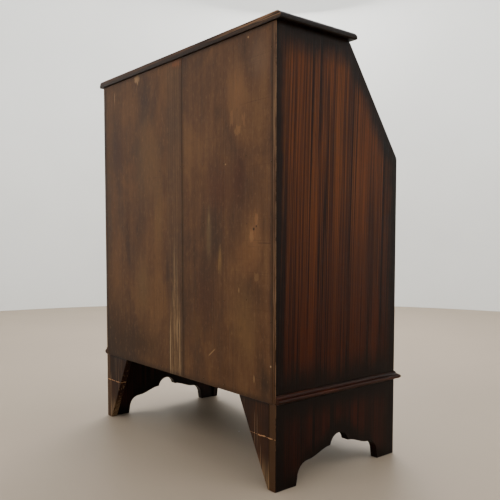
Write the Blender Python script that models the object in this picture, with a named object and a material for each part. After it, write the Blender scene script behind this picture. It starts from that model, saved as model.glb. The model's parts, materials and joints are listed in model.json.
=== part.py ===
"""A slant-front secretary desk (bureau): carcass on a bracket base, hinged fall on two lopers, three drawers
with swinging bail handles, and a pigeonhole unit with two small drawers behind the fall.

Metres, +Z up. The front faces -Y, and left and right are those of a person who sits at the desk.
The origin is on the floor, in the middle of the desk's overall box.
"""

import math

import bmesh
import bpy
from mathutils import Vector

# ---------------------------------------------------------------- driving dimensions
GAP = 0.0003  # left between two pieces that touch

# Carcass
WIDTH = 0.766  # over the side panels
DEPTH = 0.398  # front edge of a side panel to the back face
HEIGHT = 1.000
SIDE = 0.018  # thickness of a side panel
TOP = 0.016
TOP_SIDE_OVERHANG = 0.016
TOP_BACK_OVERHANG = 0.004
TOP_UNDERCUT = 0.002  # chamfer under the top's edge
TOP_FLAT = 0.003  # upright run above it
TOP_ROUND = 0.010  # how far in the rounding above that reaches
BACK = 0.005  # thickness of the two back panels
BACK_LAP = 0.008  # how far a back panel reaches into a side panel's rebate
BACK_SEAM = 0.349  # left face of the carcass to the seam of the back panels
SHELF = 0.014  # thickness of a dust board
BOTTOM_OVER_MOULDING = 0.001  # the bottom board's upper face is this far above the base moulding
HOUSING = 0.005  # depth of the grooves that hold the shelves in the side panels
HOUSING_STOP = 0.015  # the grooves end this far behind the front edge
EASE = 0.0008  # chamfer on the boards' edges

# Bracket base
BASE_HEIGHT = 0.1885
BASE_BOARD = 0.020
APRON_BOARD = 0.018
SIDE_FOOT = 0.062  # width of a side foot at the floor
FRONT_EAR = 0.0025  # width of the front apron's ear at the floor
BRACKET_TOP = 0.103  # width of a rear bracket at its top
BRACKET_TIP = 0.0045  # and at the floor
FOOT_LEG = 0.016  # height of the nearly upright run at the foot of a bracket board's edge
FOOT_LEAN = 0.003  # how far in that run leans
SWEEP_REACH = 0.035  # from a foot's tip to the top of its sweep
SWEEP_HEIGHT = 0.050
WAVE_RISE = 0.018  # the wave from the sweep to the arch climbs by this
ARCH_RADIUS = 0.030
ARCH_DROP = 0.006  # the arch's centre below the end of the wave
MOULDING_HEIGHT = 0.0195
MOULDING_REACH = 0.012
MOULDING_FILLET = 0.002
COVE_REACH = 0.0082
COVE_DROP = 0.0066
GROOVE_DEPTH = 0.0014
GROOVE_WIDTH = 0.0012
MOULDING_BEAD = 0.0048  # radius

# Fall and writing board
COMPARTMENT = 0.261  # height from the writing surface to the underside of the top
SLOPE = math.radians(54.6)  # of the closed fall, from the horizontal
HINGE_SETBACK = 0.005  # hinge axis behind the front edge
FALL = 0.018  # whole thickness of the fall, and of the writing board
FALL_INSET = 0.011  # the part of it that lies between the side panels
FALL_LIP_SETBACK = 0.004  # the lip's edge, in from the outer face of a side panel
FALL_CLEARANCE = 0.001
LIP_ROUND = 0.0045
LEATHER = 0.001
LEATHER_MARGIN_X = 0.064
LEATHER_MARGIN_LOW = 0.040
LEATHER_MARGIN_HIGH = 0.046

# Butt hinges of the fall
HINGE_LENGTH = 0.060
HINGE_FROM_SIDE = 0.065  # inner face of a side panel to the hinge
LEAF = 0.0015
LEAF_REACH = 0.022
KNUCKLE = 0.0032  # radius
KNUCKLE_BORE = 0.0019
PIN = 0.00145
KNUCKLE_ROOM = 0.0006

# Lock of the fall
LOCK_WIDTH = 0.060
LOCK_LENGTH = 0.038
LOCK_THICKNESS = 0.014
BOLT_WIDTH = 0.020
BOLT_THICKNESS = 0.004
BOLT_LENGTH = 0.026
BOLT_OUT = 0.008  # from the fall's inner face to the bolt
BOLT_THROW = 0.012
BOLT_ROOM = 0.001  # round the thrown bolt, in the top board's mortise
SLIDE_ROOM = 0.0004
ESCUTCHEON_HALF_WIDTH = 0.011
ESCUTCHEON_HALF_LENGTH = 0.018
ESCUTCHEON = 0.0012
ESCUTCHEON_PROUD = 0.0002  # the rest of its thickness is let into the fall
KEYHOLE_FROM_END = 0.0228  # below the fall's upper edge
KEYHOLE_RADIUS = 0.0025
KEYHOLE_SLOT = 0.009  # from the round hole's middle to the foot of the slot below it
KEYHOLE_SLOT_HALF_WIDTH = 0.0011

# Lopers
LOPER = 0.018
LOPER_ROOM = 0.001
LOPER_BACK_ROOM = 0.043  # behind the loper when it is in
PARTITION = 0.010

# Drawers. The lower two divide the height that the top one leaves.
TOP_DRAWER_OPENING = 0.120
LOWEST_DRAWER_SHARE = 0.526
DRAWER_ROOM = 0.001
DRAWER_FRONT = 0.018
DRAWER_SIDE = 0.010
DRAWER_BACK_ROOM = 0.021  # behind a drawer when it is shut
DRAWER_BOTTOM = 0.005
DRAWER_BOTTOM_UP = 0.010  # underside of the bottom above the box's lower edge
DRAWER_GROOVE = 0.005
DRAWER_SHORTER = 0.012  # a box is this much lower than its front
BEAD = 0.003  # width of the cockbead round a drawer front
BEAD_PROUD = 0.0015

# Bail handles
HANDLE_FROM_SIDE = 0.140  # inner face of a side panel to the handle's middle
HANDLE_HALF_SPREAD = 0.035  # post to the handle's middle
PLATE = 0.0016
PLATE_HALF_WIDTH = 0.050
PLATE_HALF_HEIGHT = 0.020
POST_REACH = 0.013  # plate to the bail's axis
POST_BALL = 0.0048
POST_NECK = 0.0032
POST_HOLE = 0.0022
BAIL_PIN = 0.0017
BAIL_GRIP = 0.0030  # radius in the middle of the grip
BAIL_OUT = 0.0085  # the arms stand this far outside the posts
BAIL_CORNER = 0.003  # radius of the bend from a pin to an arm
BAIL_DROP = 0.027

# Pigeonhole unit
UNIT_TOP_ROOM = 0.011  # over the unit
UNIT_FALL_ROOM = 0.050  # between the unit's upper front edge and the closed fall
UNIT_BOARD = 0.008
OUTER_BAY = 0.150
SMALL_DRAWER_OPENING = 0.072
SMALL_WALL = 0.006
SMALL_FRONT = 0.010
SMALL_BACK_ROOM = 0.004

KNOB_RADIUS = 0.007
KNOB_REACH = 0.014

# ---------------------------------------------------------------- places that follow from them
FRONT_REACH = GAP + PLATE + POST_REACH + POST_BALL  # handles before the carcass's front
TOTAL_DEPTH = DEPTH + TOP_BACK_OVERHANG + FRONT_REACH
FRONT_Y = -TOTAL_DEPTH / 2 + FRONT_REACH
BACK_Y = FRONT_Y + DEPTH
INNER_BACK_Y = BACK_Y - BACK
HALF = WIDTH / 2
INNER = HALF - SIDE
TOP_UNDERSIDE = HEIGHT - TOP
HINGE_Y = FRONT_Y + HINGE_SETBACK
HINGE_Z = TOP_UNDERSIDE - COMPARTMENT  # the writing surface
FALL_END = (TOP_UNDERSIDE - FALL_CLEARANCE - HINGE_Z - FALL * math.cos(SLOPE)) / math.sin(SLOPE)
LIP_START = HINGE_SETBACK + FALL_CLEARANCE  # from the axis, so that the open lip clears the side panels
LOPER_Z = HINGE_Z - FALL  # underside of the writing board
PARTITION_X = INNER - LOPER - LOPER_ROOM  # outer face of a loper partition
BOTTOM = MOULDING_HEIGHT + BOTTOM_OVER_MOULDING  # thickness of the bottom board
HINGE_FROM_MIDDLE = INNER - HINGE_FROM_SIDE - HINGE_LENGTH / 2
HANDLE_FROM_MIDDLE = INNER - HANDLE_FROM_SIDE
UNIT_TOP = TOP_UNDERSIDE - UNIT_TOP_ROOM
UNIT_SHELF_Z = HINGE_Z + SMALL_DRAWER_OPENING  # underside of the shelf over a small drawer
ARCH_START = math.asin(ARCH_DROP / ARCH_RADIUS)  # where the arch meets the wave, above the horizontal
WAVE_REACH = DEPTH / 2 - SIDE_FOOT - SWEEP_REACH - ARCH_RADIUS * math.cos(ARCH_START)
MIDDLE_BAY = (2 * INNER - 2 * OUTER_BAY - 6 * UNIT_BOARD) / 3


def on_fall(along, out):
    """(y, z) of a point on the closed fall: along it from the hinge axis, and out from its inner face."""
    return (
        HINGE_Y + along * math.cos(SLOPE) - out * math.sin(SLOPE),
        HINGE_Z + along * math.sin(SLOPE) + out * math.cos(SLOPE),
    )


def slant_height(y, out):
    """Height at y of the line that runs along the closed fall at this distance out from its inner face."""
    return HINGE_Z + (y - HINGE_Y) * math.tan(SLOPE) + out / math.cos(SLOPE)


def slant_depth(z, out):
    """The y at height z of that line."""
    return HINGE_Y + (z - HINGE_Z - out / math.cos(SLOPE)) / math.tan(SLOPE)


TOP_FRONT_Y = on_fall(FALL_END, FALL)[0] + GAP
UNIT_FRONT_Y = slant_depth(UNIT_TOP, 0) + UNIT_FALL_ROOM

# ---------------------------------------------------------------- scene and materials
for old in list(bpy.data.objects):
    bpy.data.objects.remove(old, do_unlink=True)

FINISHES = {  # colour, roughness, metallic
    "stained_oak": ((0.105, 0.038, 0.016), 0.38, 0.0),
    "dark_moulding": ((0.060, 0.024, 0.013), 0.35, 0.0),
    "back_board": ((0.150, 0.085, 0.045), 0.62, 0.0),
    "rough_bracket": ((0.110, 0.055, 0.028), 0.66, 0.0),
    "drawer_lining": ((0.420, 0.270, 0.140), 0.60, 0.0),
    "writing_leather": ((0.045, 0.090, 0.045), 0.50, 0.0),
    "brass": ((0.640, 0.430, 0.160), 0.32, 1.0),
}


def finish(name):
    colour, roughness, metallic = FINISHES[name]
    material = bpy.data.materials.new(name)
    material.use_nodes = True
    shader = material.node_tree.nodes["Principled BSDF"]
    shader.inputs["Base Color"].default_value = (*colour, 1.0)
    shader.inputs["Roughness"].default_value = roughness
    shader.inputs["Metallic"].default_value = metallic
    material.diffuse_color = (*colour, 1.0)
    return material


MATERIALS = {name: finish(name) for name in FINISHES}


# ---------------------------------------------------------------- modelling helpers
def block(low, high):
    """A box between two corners."""
    shape = bmesh.new()
    bmesh.ops.create_cube(shape, size=1.0)
    low, high = Vector(low), Vector(high)
    bmesh.ops.scale(shape, vec=high - low, verts=shape.verts)
    bmesh.ops.translate(shape, vec=(low + high) / 2, verts=shape.verts)
    return shape


def prism(outline, axis, low, high):
    """An outline extruded along an axis. Its points are the two other coordinates, in the order X, Y, Z."""
    number = "XYZ".index(axis)
    along = Vector([float(i == number) for i in range(3)])
    shape = bmesh.new()
    corners = []
    for point in outline:
        place = list(point)
        place.insert(number, low)
        corners.append(shape.verts.new(place))
    face = shape.faces.new(corners)
    made = bmesh.ops.extrude_face_region(shape, geom=[face])
    moved = [item for item in made["geom"] if isinstance(item, bmesh.types.BMVert)]
    bmesh.ops.translate(shape, vec=along * (high - low), verts=moved)
    bmesh.ops.recalc_face_normals(shape, faces=shape.faces)
    return shape


def stack(rings):
    """A closed body through a pile of rings of points, which all have the same number of points."""
    shape = bmesh.new()
    loops = [[shape.verts.new(point) for point in ring] for ring in rings]
    for lower, upper in zip(loops, loops[1:]):
        for i in range(len(lower)):
            j = (i + 1) % len(lower)
            shape.faces.new((lower[i], lower[j], upper[j], upper[i]))
    shape.faces.new(loops[0][::-1])
    shape.faces.new(loops[-1])
    bmesh.ops.recalc_face_normals(shape, faces=shape.faces)
    return shape


def turned(profile, axis="Y", sides=14):
    """A turned body: the profile holds (distance along the axis, radius) from one end to the other."""
    rings = []
    for along, radius in profile:
        ring = []
        for k in range(sides):
            a, b = radius * math.cos(2 * math.pi * k / sides), radius * math.sin(2 * math.pi * k / sides)
            ring.append({"X": (along, a, b), "Y": (a, along, b)}[axis])
        rings.append(ring)
    return stack(rings)


def rod(span, radius, y=0.0, z=0.0):
    """A round bar along X."""
    shape = turned([(span[0], radius), (span[1], radius)], "X")
    bmesh.ops.translate(shape, vec=(0, y, z), verts=shape.verts)
    return shape


def rectangle(low_x, high_x, low_y, high_y, z):
    return [(low_x, low_y, z), (high_x, low_y, z), (high_x, high_y, z), (low_x, high_y, z)]


def add(name, shape, material, origin=(0, 0, 0), parent=None, ease=0.0):
    """Makes the named object. The shape and the origin are given in its parent's frame, or in the desk's."""
    bmesh.ops.translate(shape, vec=-Vector(origin), verts=shape.verts)
    mesh = bpy.data.meshes.new(name)
    shape.to_mesh(mesh)
    shape.free()
    return add_mesh(name, mesh, material, origin, parent, ease)


def add_mesh(name, mesh, material, origin=(0, 0, 0), parent=None, ease=0.0):
    if not mesh.materials:
        mesh.materials.append(MATERIALS[material])
    made = bpy.data.objects.new(name, mesh)
    bpy.context.scene.collection.objects.link(made)
    made.location = origin
    made.parent = parent
    if ease:
        bevel = made.modifiers.new("Ease", "BEVEL")
        bevel.width = ease
        bevel.segments = 1
        bevel.limit_method = "ANGLE"
    return made


def boolean(target, shape, operation):
    """Cuts a shape from the target, or joins it on. The shape is given in the target's parent's frame."""
    tool = add(f"tool_{target.name}_{len(target.modifiers)}", shape, "brass", parent=target.parent)
    tool.hide_render = True
    tool.display_type = "WIRE"
    change = target.modifiers.new(operation.title(), "BOOLEAN")
    change.operation = operation
    change.solver = "EXACT"
    change.object = tool


def cut(target, *shapes):
    for shape in shapes:
        boolean(target, shape, "DIFFERENCE")


def join(target, *shapes):
    for shape in shapes:
        boolean(target, shape, "UNION")


def baked(target):
    """The mesh that a target's modifiers make, so that copies can share it. The target and its tools go."""
    bpy.context.view_layer.update()
    graph = bpy.context.evaluated_depsgraph_get()
    mesh = bpy.data.meshes.new_from_object(target.evaluated_get(graph))
    tools = [change.object for change in target.modifiers if change.type == "BOOLEAN"]
    for gone in (target, *tools):
        bpy.data.objects.remove(gone, do_unlink=True)
    return mesh


def smooth(mesh):
    mesh.shade_smooth()
    mesh.set_sharp_from_angle(angle=math.radians(35))


def joint_empty(name, place, tilt=0.0, parent=None):
    """An empty on a joint's axis. What moves with the joint is parented to it."""
    empty = bpy.data.objects.new(name, None)
    bpy.context.scene.collection.objects.link(empty)
    empty.location = place
    empty.rotation_euler = (tilt, 0, 0)
    empty.parent = parent
    return empty


def arc(centre, radii, start, end, steps):
    """Points on an ellipse's arc, both ends included. Angles are in degrees."""
    turn = [math.radians(start + (end - start) * k / steps) for k in range(steps + 1)]
    return [(centre[0] + radii[0] * math.cos(t), centre[1] + radii[1] * math.sin(t)) for t in turn]


# ---------------------------------------------------------------- carcass
def shelf_levels():
    """(underside, thickness) of each board that is housed in the side panels."""
    upper = LOPER_Z - TOP_DRAWER_OPENING - SHELF
    left_over = upper - SHELF - BASE_HEIGHT - BOTTOM
    return {
        "bottom_board": (BASE_HEIGHT, BOTTOM),
        "dust_board_lower": (BASE_HEIGHT + BOTTOM + LOWEST_DRAWER_SHARE * left_over, SHELF),
        "dust_board_upper": (upper, SHELF),
        "writing_board": (LOPER_Z, FALL),
    }


def side_panels():
    """Two panels with the slanted front edge, grooves for the shelves, and a rebate for the back panels."""
    edge = FALL_INSET - 2 * GAP - FALL_CLEARANCE / 2
    upper = TOP_UNDERSIDE - GAP
    outline = [
        (FRONT_Y, BASE_HEIGHT),
        (BACK_Y, BASE_HEIGHT),
        (BACK_Y, upper),
        (slant_depth(upper, edge), upper),
        (FRONT_Y, slant_height(FRONT_Y, edge)),
    ]
    for side, sign in (("left", -1), ("right", 1)):
        ends = sorted((sign * INNER, sign * HALF))
        panel = add(f"{side}_side_panel", prism(outline, "X", *ends), "stained_oak",
                    (sign * (HALF - SIDE / 2), (FRONT_Y + BACK_Y) / 2, BASE_HEIGHT), ease=EASE)
        past = 0.01  # cutters run this far past the faces they open
        inside = sign * (INNER - past)
        groove_end = sign * (INNER + HOUSING + GAP)
        for underside, thickness in shelf_levels().values():
            x = sorted((inside, groove_end))
            lower = underside - GAP if underside > BASE_HEIGHT else underside - past
            cut(panel, block((x[0], FRONT_Y + HOUSING_STOP - GAP, lower),
                             (x[1], BACK_Y + past, underside + thickness + GAP)))
        x = sorted((inside, sign * (INNER + BACK_LAP)))
        cut(panel, block((x[0], INNER_BACK_Y - GAP, BASE_HEIGHT - past), (x[1], BACK_Y + past, upper + past)))


def housed(name, outline, material):
    """A shelf that reaches into the side panels' grooves, with its front corners notched at their stops."""
    reach = INNER + HOUSING
    board = add(name, prism(outline, "X", -reach, reach), material,
                (0, (FRONT_Y + INNER_BACK_Y) / 2, outline[0][1]), ease=EASE)
    for sign in (-1, 1):
        x = sorted((sign * (INNER - GAP), sign * (reach + HOUSING)))
        cut(board, block((x[0], FRONT_Y - HOUSING_STOP, outline[0][1] - SHELF),
                         (x[1], FRONT_Y + HOUSING_STOP, outline[0][1] + 2 * FALL)))
    return board


def shelves():
    back = INNER_BACK_Y - 2 * GAP
    for name, (underside, thickness) in shelf_levels().items():
        if name == "writing_board":
            continue
        housed(name, [(FRONT_Y, underside), (back, underside),
                      (back, underside + thickness), (FRONT_Y, underside + thickness)],
               "stained_oak")
    ledge = HINGE_Z - FALL_INSET - FALL_CLEARANCE / 2
    outline = [(FRONT_Y, LOPER_Z), (back, LOPER_Z), (back, HINGE_Z), (HINGE_Y, HINGE_Z), (HINGE_Y, ledge),
               (FRONT_Y, ledge)]
    board = housed("writing_board", outline, "stained_oak")
    for sign in (-1, 1):
        middle = sign * HINGE_FROM_MIDDLE
        half = HINGE_LENGTH / 2 + GAP
        cut(board, block((middle - half, HINGE_Y - LEAF, HINGE_Z - LEAF - GAP),
                         (middle + half, HINGE_Y + LEAF_REACH + GAP, HINGE_Z + LEAF)))
        cut(board, rod((middle - half, middle + half), KNUCKLE + KNUCKLE_ROOM, HINGE_Y, HINGE_Z))


def top_board():
    """Square at the back, with an ovolo edge on the sides and the front."""
    flat_z = TOP_UNDERSIDE + TOP_UNDERCUT
    round_z = flat_z + TOP_FLAT
    profile = [(TOP_UNDERCUT, TOP_UNDERSIDE), (0, flat_z), (0, round_z)]
    profile += [(TOP_ROUND - x, z) for x, z in arc((0, round_z), (TOP_ROUND, HEIGHT - round_z), 15, 90, 5)]
    end = HALF + TOP_SIDE_OVERHANG
    rings = [rectangle(-end + inset, end - inset, TOP_FRONT_Y + inset, BACK_Y + TOP_BACK_OVERHANG, z)
             for inset, z in profile]
    board = add("top_board", stack(rings), "dark_moulding", (0, (TOP_FRONT_Y + BACK_Y) / 2, TOP_UNDERSIDE))
    # The mortise that takes the lock's bolt when it is thrown.
    half = BOLT_WIDTH / 2 + BOLT_ROOM
    low = on_fall(FALL_END, BOLT_OUT + BOLT_THICKNESS)[0] - BOLT_ROOM
    high = on_fall(FALL_END + BOLT_THROW, BOLT_OUT)[0] + BOLT_ROOM
    roof = on_fall(FALL_END + BOLT_THROW, BOLT_OUT + BOLT_THICKNESS)[1] + BOLT_ROOM
    cut(board, block((-half, low, TOP_UNDERSIDE - TOP), (half, high, roof)))


def back_panels():
    seam = -HALF + BACK_SEAM
    outer = INNER + BACK_LAP - GAP
    spans = {"back_panel_left": (-outer, seam - GAP), "back_panel_right": (seam + GAP, outer)}
    for name, (low, high) in spans.items():
        add(name, block((low, INNER_BACK_Y, BASE_HEIGHT), (high, BACK_Y, TOP_UNDERSIDE - GAP)), "back_board",
            ((low + high) / 2, BACK_Y, BASE_HEIGHT), ease=EASE / 2)


def loper_partitions():
    floor = LOPER_Z - TOP_DRAWER_OPENING
    for side, sign in (("left", -1), ("right", 1)):
        x = sorted((sign * (PARTITION_X - PARTITION), sign * PARTITION_X))
        shape = block((x[0], FRONT_Y, floor + GAP), (x[1], INNER_BACK_Y - 2 * GAP, LOPER_Z - GAP))
        add(f"loper_partition_{side}", shape, "stained_oak", (sum(x) / 2, FRONT_Y, floor), ease=EASE)


# ---------------------------------------------------------------- bracket base
def bracket_edge(foot, half_span):
    """A bracket board's lower edge from a foot to the middle: (distance from the board's end, height)."""
    top = foot + SWEEP_REACH
    points = [(foot, 0.0)]
    points += arc((top, FOOT_LEG), (SWEEP_REACH - FOOT_LEAN, SWEEP_HEIGHT - FOOT_LEG), 180, 90, 6)
    steps = 6
    for k in range(1, steps):
        t = k / steps
        points.append((top + WAVE_REACH * t, SWEEP_HEIGHT + WAVE_RISE * t * t * (3 - 2 * t)))
    crown = top + WAVE_REACH + ARCH_RADIUS * math.cos(ARCH_START)
    centre_z = SWEEP_HEIGHT + WAVE_RISE - ARCH_DROP
    points += arc((crown, centre_z), (ARCH_RADIUS, ARCH_RADIUS), 180 - math.degrees(ARCH_START), 90, 6)
    if half_span - crown > GAP:
        points.append((half_span, centre_z + ARCH_RADIUS))
    return points


def mirrored(edge, low, high):
    """A bracket board's whole lower edge between its two ends. The point on the centre line comes once."""
    return [(low + d, z) for d, z in edge] + [(high - d, z) for d, z in edge[-2::-1]]


def base_boards():
    upper = BASE_HEIGHT - GAP
    edge = mirrored(bracket_edge(SIDE_FOOT, DEPTH / 2), FRONT_Y, BACK_Y)
    outline = [(FRONT_Y, upper), (FRONT_Y, 0.0), *edge, (BACK_Y, 0.0), (BACK_Y, upper)]
    end = HALF - BASE_BOARD - GAP
    apron_edge = mirrored(bracket_edge(GAP + FRONT_EAR, end), -end, end)
    apron = [(-end, upper), (-end, 0.0), *apron_edge, (end, 0.0), (end, upper)]
    shape = prism(apron, "Y", FRONT_Y, FRONT_Y + APRON_BOARD)
    add("front_apron", shape, "stained_oak", (0, FRONT_Y, 0), ease=EASE)
    for side, sign in (("left", -1), ("right", 1)):
        x = sorted((sign * (HALF - BASE_BOARD), sign * HALF))
        add(f"base_side_{side}", prism(outline, "X", *x), "stained_oak", (sum(x) / 2, 0, 0), ease=EASE)
        wedge = [(sign * end, 0.0), (sign * (end - BRACKET_TIP), 0.0), (sign * (end - BRACKET_TOP), upper),
                 (sign * end, upper)]
        add(f"rear_bracket_{side}", prism(wedge, "Y", BACK_Y - APRON_BOARD, BACK_Y), "rough_bracket",
            (sign * end, BACK_Y, 0), ease=EASE)


def moulding_profile():
    """(distance out, height above the joint) round the base moulding: a cove over a groove and a bead."""
    cove_z = MOULDING_HEIGHT - COVE_DROP
    bead_z = cove_z - GROOVE_WIDTH - MOULDING_BEAD
    points = [(0.0, 0.0), (0.0, MOULDING_HEIGHT)]
    points += arc((COVE_REACH, MOULDING_HEIGHT), (COVE_REACH - MOULDING_FILLET, COVE_DROP), 180, 270, 5)
    points.append((COVE_REACH - GROOVE_DEPTH, cove_z - GROOVE_WIDTH / 2))
    points += arc((MOULDING_REACH - MOULDING_BEAD, bead_z), (MOULDING_BEAD, MOULDING_BEAD), 80, -90, 7)
    points.append((MOULDING_REACH - 2 * MOULDING_BEAD, 0.0))
    return points


def base_mouldings():
    """Three runs with mitred front corners."""
    profile = [(out + GAP, BASE_HEIGHT + up + GAP) for out, up in moulding_profile()]

    def run(start, end):
        return stack([[start(out, z) for out, z in profile], [end(out, z) for out, z in profile]])

    front = run(lambda out, z: (-HALF - out, FRONT_Y - out, z), lambda out, z: (HALF + out, FRONT_Y - out, z))
    add("base_moulding_front", front, "dark_moulding", (0, FRONT_Y, BASE_HEIGHT))
    mitre_gap = 2 * GAP
    for side, sign in (("left", -1), ("right", 1)):
        length = run(lambda out, z: (sign * (HALF + out), FRONT_Y - out + mitre_gap, z),
                     lambda out, z: (sign * (HALF + out), BACK_Y, z))
        add(f"base_moulding_{side}", length, "dark_moulding", (sign * HALF, 0, BASE_HEIGHT))


# ---------------------------------------------------------------- fall
def fall_parts():
    """The fall, in a frame on its hinge axis: +Y runs up the closed fall, and +Z out of it."""
    axis = joint_empty("fall_axis", (0, HINGE_Y, HINGE_Z), tilt=SLOPE)
    overlap = 0.0005
    lip_x = HALF - FALL_LIP_SETBACK
    lip_z = FALL_INSET - overlap
    rings = [rectangle(-lip_x, lip_x, LIP_START, FALL_END, lip_z)]
    for inset, z in [(0.0, FALL - LIP_ROUND)] + [
        (LIP_ROUND - x, FALL - LIP_ROUND + z) for x, z in arc((0, 0), (LIP_ROUND, LIP_ROUND), 30, 90, 2)
    ]:
        rings.append(rectangle(-lip_x + inset, lip_x - inset, LIP_START + inset, FALL_END - inset, z))
    board = add("fall_board", stack(rings), "stained_oak", parent=axis)
    inset_x = INNER - FALL_CLEARANCE
    join(board, block((-inset_x, overlap, 0), (inset_x, FALL_END - overlap, FALL_INSET)))

    leather_x = INNER - LEATHER_MARGIN_X
    low, high = LEATHER_MARGIN_LOW, FALL_END - LEATHER_MARGIN_HIGH
    cut(board, block((-leather_x - GAP, low - GAP, -LEATHER), (leather_x + GAP, high + GAP, LEATHER + GAP)))
    add("fall_leather", block((-leather_x, low, 0), (leather_x, high, LEATHER)), "writing_leather",
        (0, (low + high) / 2, 0), axis)

    # Lock: a case let into the inner face at the top, its bolt, and the escutcheon on the outer face.
    lock_y = FALL_END - LOCK_LENGTH
    cut(board, block((-LOCK_WIDTH / 2 - GAP, lock_y - GAP, -LOCK_THICKNESS),
                     (LOCK_WIDTH / 2 + GAP, FALL_END + LOCK_LENGTH, LOCK_THICKNESS + GAP)))
    case_shape = block((-LOCK_WIDTH / 2, lock_y, 0), (LOCK_WIDTH / 2, FALL_END - GAP, LOCK_THICKNESS))
    case = add("fall_lock_case", case_shape, "brass", (0, lock_y, 0), axis)
    channel = BOLT_WIDTH / 2 + SLIDE_ROOM
    cut(case, block((-channel, FALL_END - BOLT_LENGTH - SLIDE_ROOM - GAP, BOLT_OUT - SLIDE_ROOM),
                    (channel, FALL_END + BOLT_LENGTH, BOLT_OUT + BOLT_THICKNESS + SLIDE_ROOM)))
    bolt_axis = joint_empty("bolt_axis", (0, FALL_END, 0), parent=axis)
    add("fall_lock_bolt", block((-BOLT_WIDTH / 2, -BOLT_LENGTH, BOLT_OUT),
                                (BOLT_WIDTH / 2, -2 * GAP, BOLT_OUT + BOLT_THICKNESS)),
        "brass", (0, 0, BOLT_OUT), bolt_axis, ease=EASE / 2)
    keyhole_y = FALL_END - KEYHOLE_FROM_END
    plate_z = FALL + ESCUTCHEON_PROUD - ESCUTCHEON
    recess = oval(keyhole_y, ESCUTCHEON_HALF_WIDTH + GAP, ESCUTCHEON_HALF_LENGTH + GAP)
    cut(board, prism(recess, "Z", plate_z - GAP, FALL + ESCUTCHEON))
    plate_shape = prism(oval(keyhole_y, ESCUTCHEON_HALF_WIDTH, ESCUTCHEON_HALF_LENGTH), "Z",
                        plate_z, FALL + ESCUTCHEON_PROUD)
    plate = add("fall_escutcheon", plate_shape, "brass", (0, keyhole_y, FALL), axis)
    for target in (plate, board):
        cut(target, prism(keyhole(keyhole_y), "Z", LOCK_THICKNESS - LEATHER, FALL + ESCUTCHEON))

    hinges(axis, board)


def oval(y, half_width, half_length):
    return [(x, y + along) for x, along in arc((0, 0), (half_width, half_length), 0, 345, 23)]


def keyhole(y):
    """A round hole with a slot below it, seen on the fall's face."""
    half = KEYHOLE_SLOT_HALF_WIDTH
    start = math.degrees(math.asin(half / KEYHOLE_RADIUS))
    round_part = arc((0, 0), (KEYHOLE_RADIUS, KEYHOLE_RADIUS), -90 + start, 270 - start, 10)
    return [(x, y + z) for x, z in round_part] + [(-half, y - KEYHOLE_SLOT), (half, y - KEYHOLE_SLOT)]


def hinges(axis, board):
    """Two butt hinges. The desk's leaf has the outer knuckles, and the fall's leaf has the middle one."""
    knuckle = HINGE_LENGTH / 3
    for side, sign in (("left", -1), ("right", 1)):
        middle = sign * HINGE_FROM_MIDDLE
        start, end = middle - HINGE_LENGTH / 2, middle + HINGE_LENGTH / 2
        inner = (start + knuckle + GAP, end - knuckle - GAP)
        outer = ((start, start + knuckle - GAP), (end - knuckle + GAP, end))

        def clearance(span, y=0.0, z=0.0):
            """What a leaf leaves open round the other leaf's knuckle."""
            return rod((span[0] - 2 * GAP, span[1] + 2 * GAP), KNUCKLE + KNUCKLE_ROOM, y, z)

        y, z = HINGE_Y, HINGE_Z
        plate = block((start, y + PIN, z - LEAF), (end, y + LEAF_REACH, z))
        leaf = add(f"hinge_leaf_desk_{side}", plate, "brass", (middle, y, z))
        cut(leaf, clearance(inner, y, z))
        join(leaf, *[rod(span, KNUCKLE, y, z) for span in outer])
        cut(leaf, rod((start - knuckle, end + knuckle), KNUCKLE_BORE, y, z))

        leaf = add(f"hinge_leaf_fall_{side}", block((start, PIN, 0), (end, LEAF_REACH, LEAF)), "brass",
                   (middle, 0, 0), axis)
        cut(leaf, *[clearance(span) for span in outer])
        join(leaf, rod(inner, KNUCKLE))
        cut(leaf, rod((start - knuckle, end + knuckle), KNUCKLE_BORE))

        add(f"hinge_pin_{side}", rod((start + GAP, end - GAP), PIN, y, z), "brass", (middle, y, z))

        margin = 2 * GAP
        cut(board, block((start - margin, -LEAF, -LEAF), (end + margin, LEAF_REACH + margin, LEAF + GAP)),
            rod((start - margin, end + margin), KNUCKLE + KNUCKLE_ROOM))


# ---------------------------------------------------------------- lopers
def knob_mesh():
    """A turned knob on a short neck, pointing forward (-Y) from its seat."""
    profile = [(0, 0.45), (-0.15, 0.42), (-0.35, 0.38), (-0.5, 0.75), (-0.68, 1.0), (-0.85, 0.85),
               (-0.97, 0.45), (-1.0, 0.12)]
    shape = turned([(along * KNOB_REACH, radius * KNOB_RADIUS) for along, radius in profile])
    mesh = bpy.data.meshes.new("knob")
    shape.to_mesh(mesh)
    shape.free()
    mesh.materials.append(MATERIALS["brass"])
    smooth(mesh)
    return mesh


def lopers(knob):
    height = TOP_DRAWER_OPENING - 2 * LOPER_ROOM
    length = DEPTH - BACK - LOPER_BACK_ROOM
    for side, sign in (("left", -1), ("right", 1)):
        x = sign * (INNER - (LOPER + LOPER_ROOM) / 2)
        seat = (x, FRONT_Y, LOPER_Z - LOPER_ROOM / 2)
        axis = joint_empty(f"loper_axis_{side}", seat)
        add(f"loper_{side}", block((-LOPER / 2, GAP, -height), (LOPER / 2, length, 0)), "stained_oak",
            parent=axis, ease=EASE)
        add_mesh(f"loper_knob_{side}", knob, "brass", (0, 0, -height / 2), axis)


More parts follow.
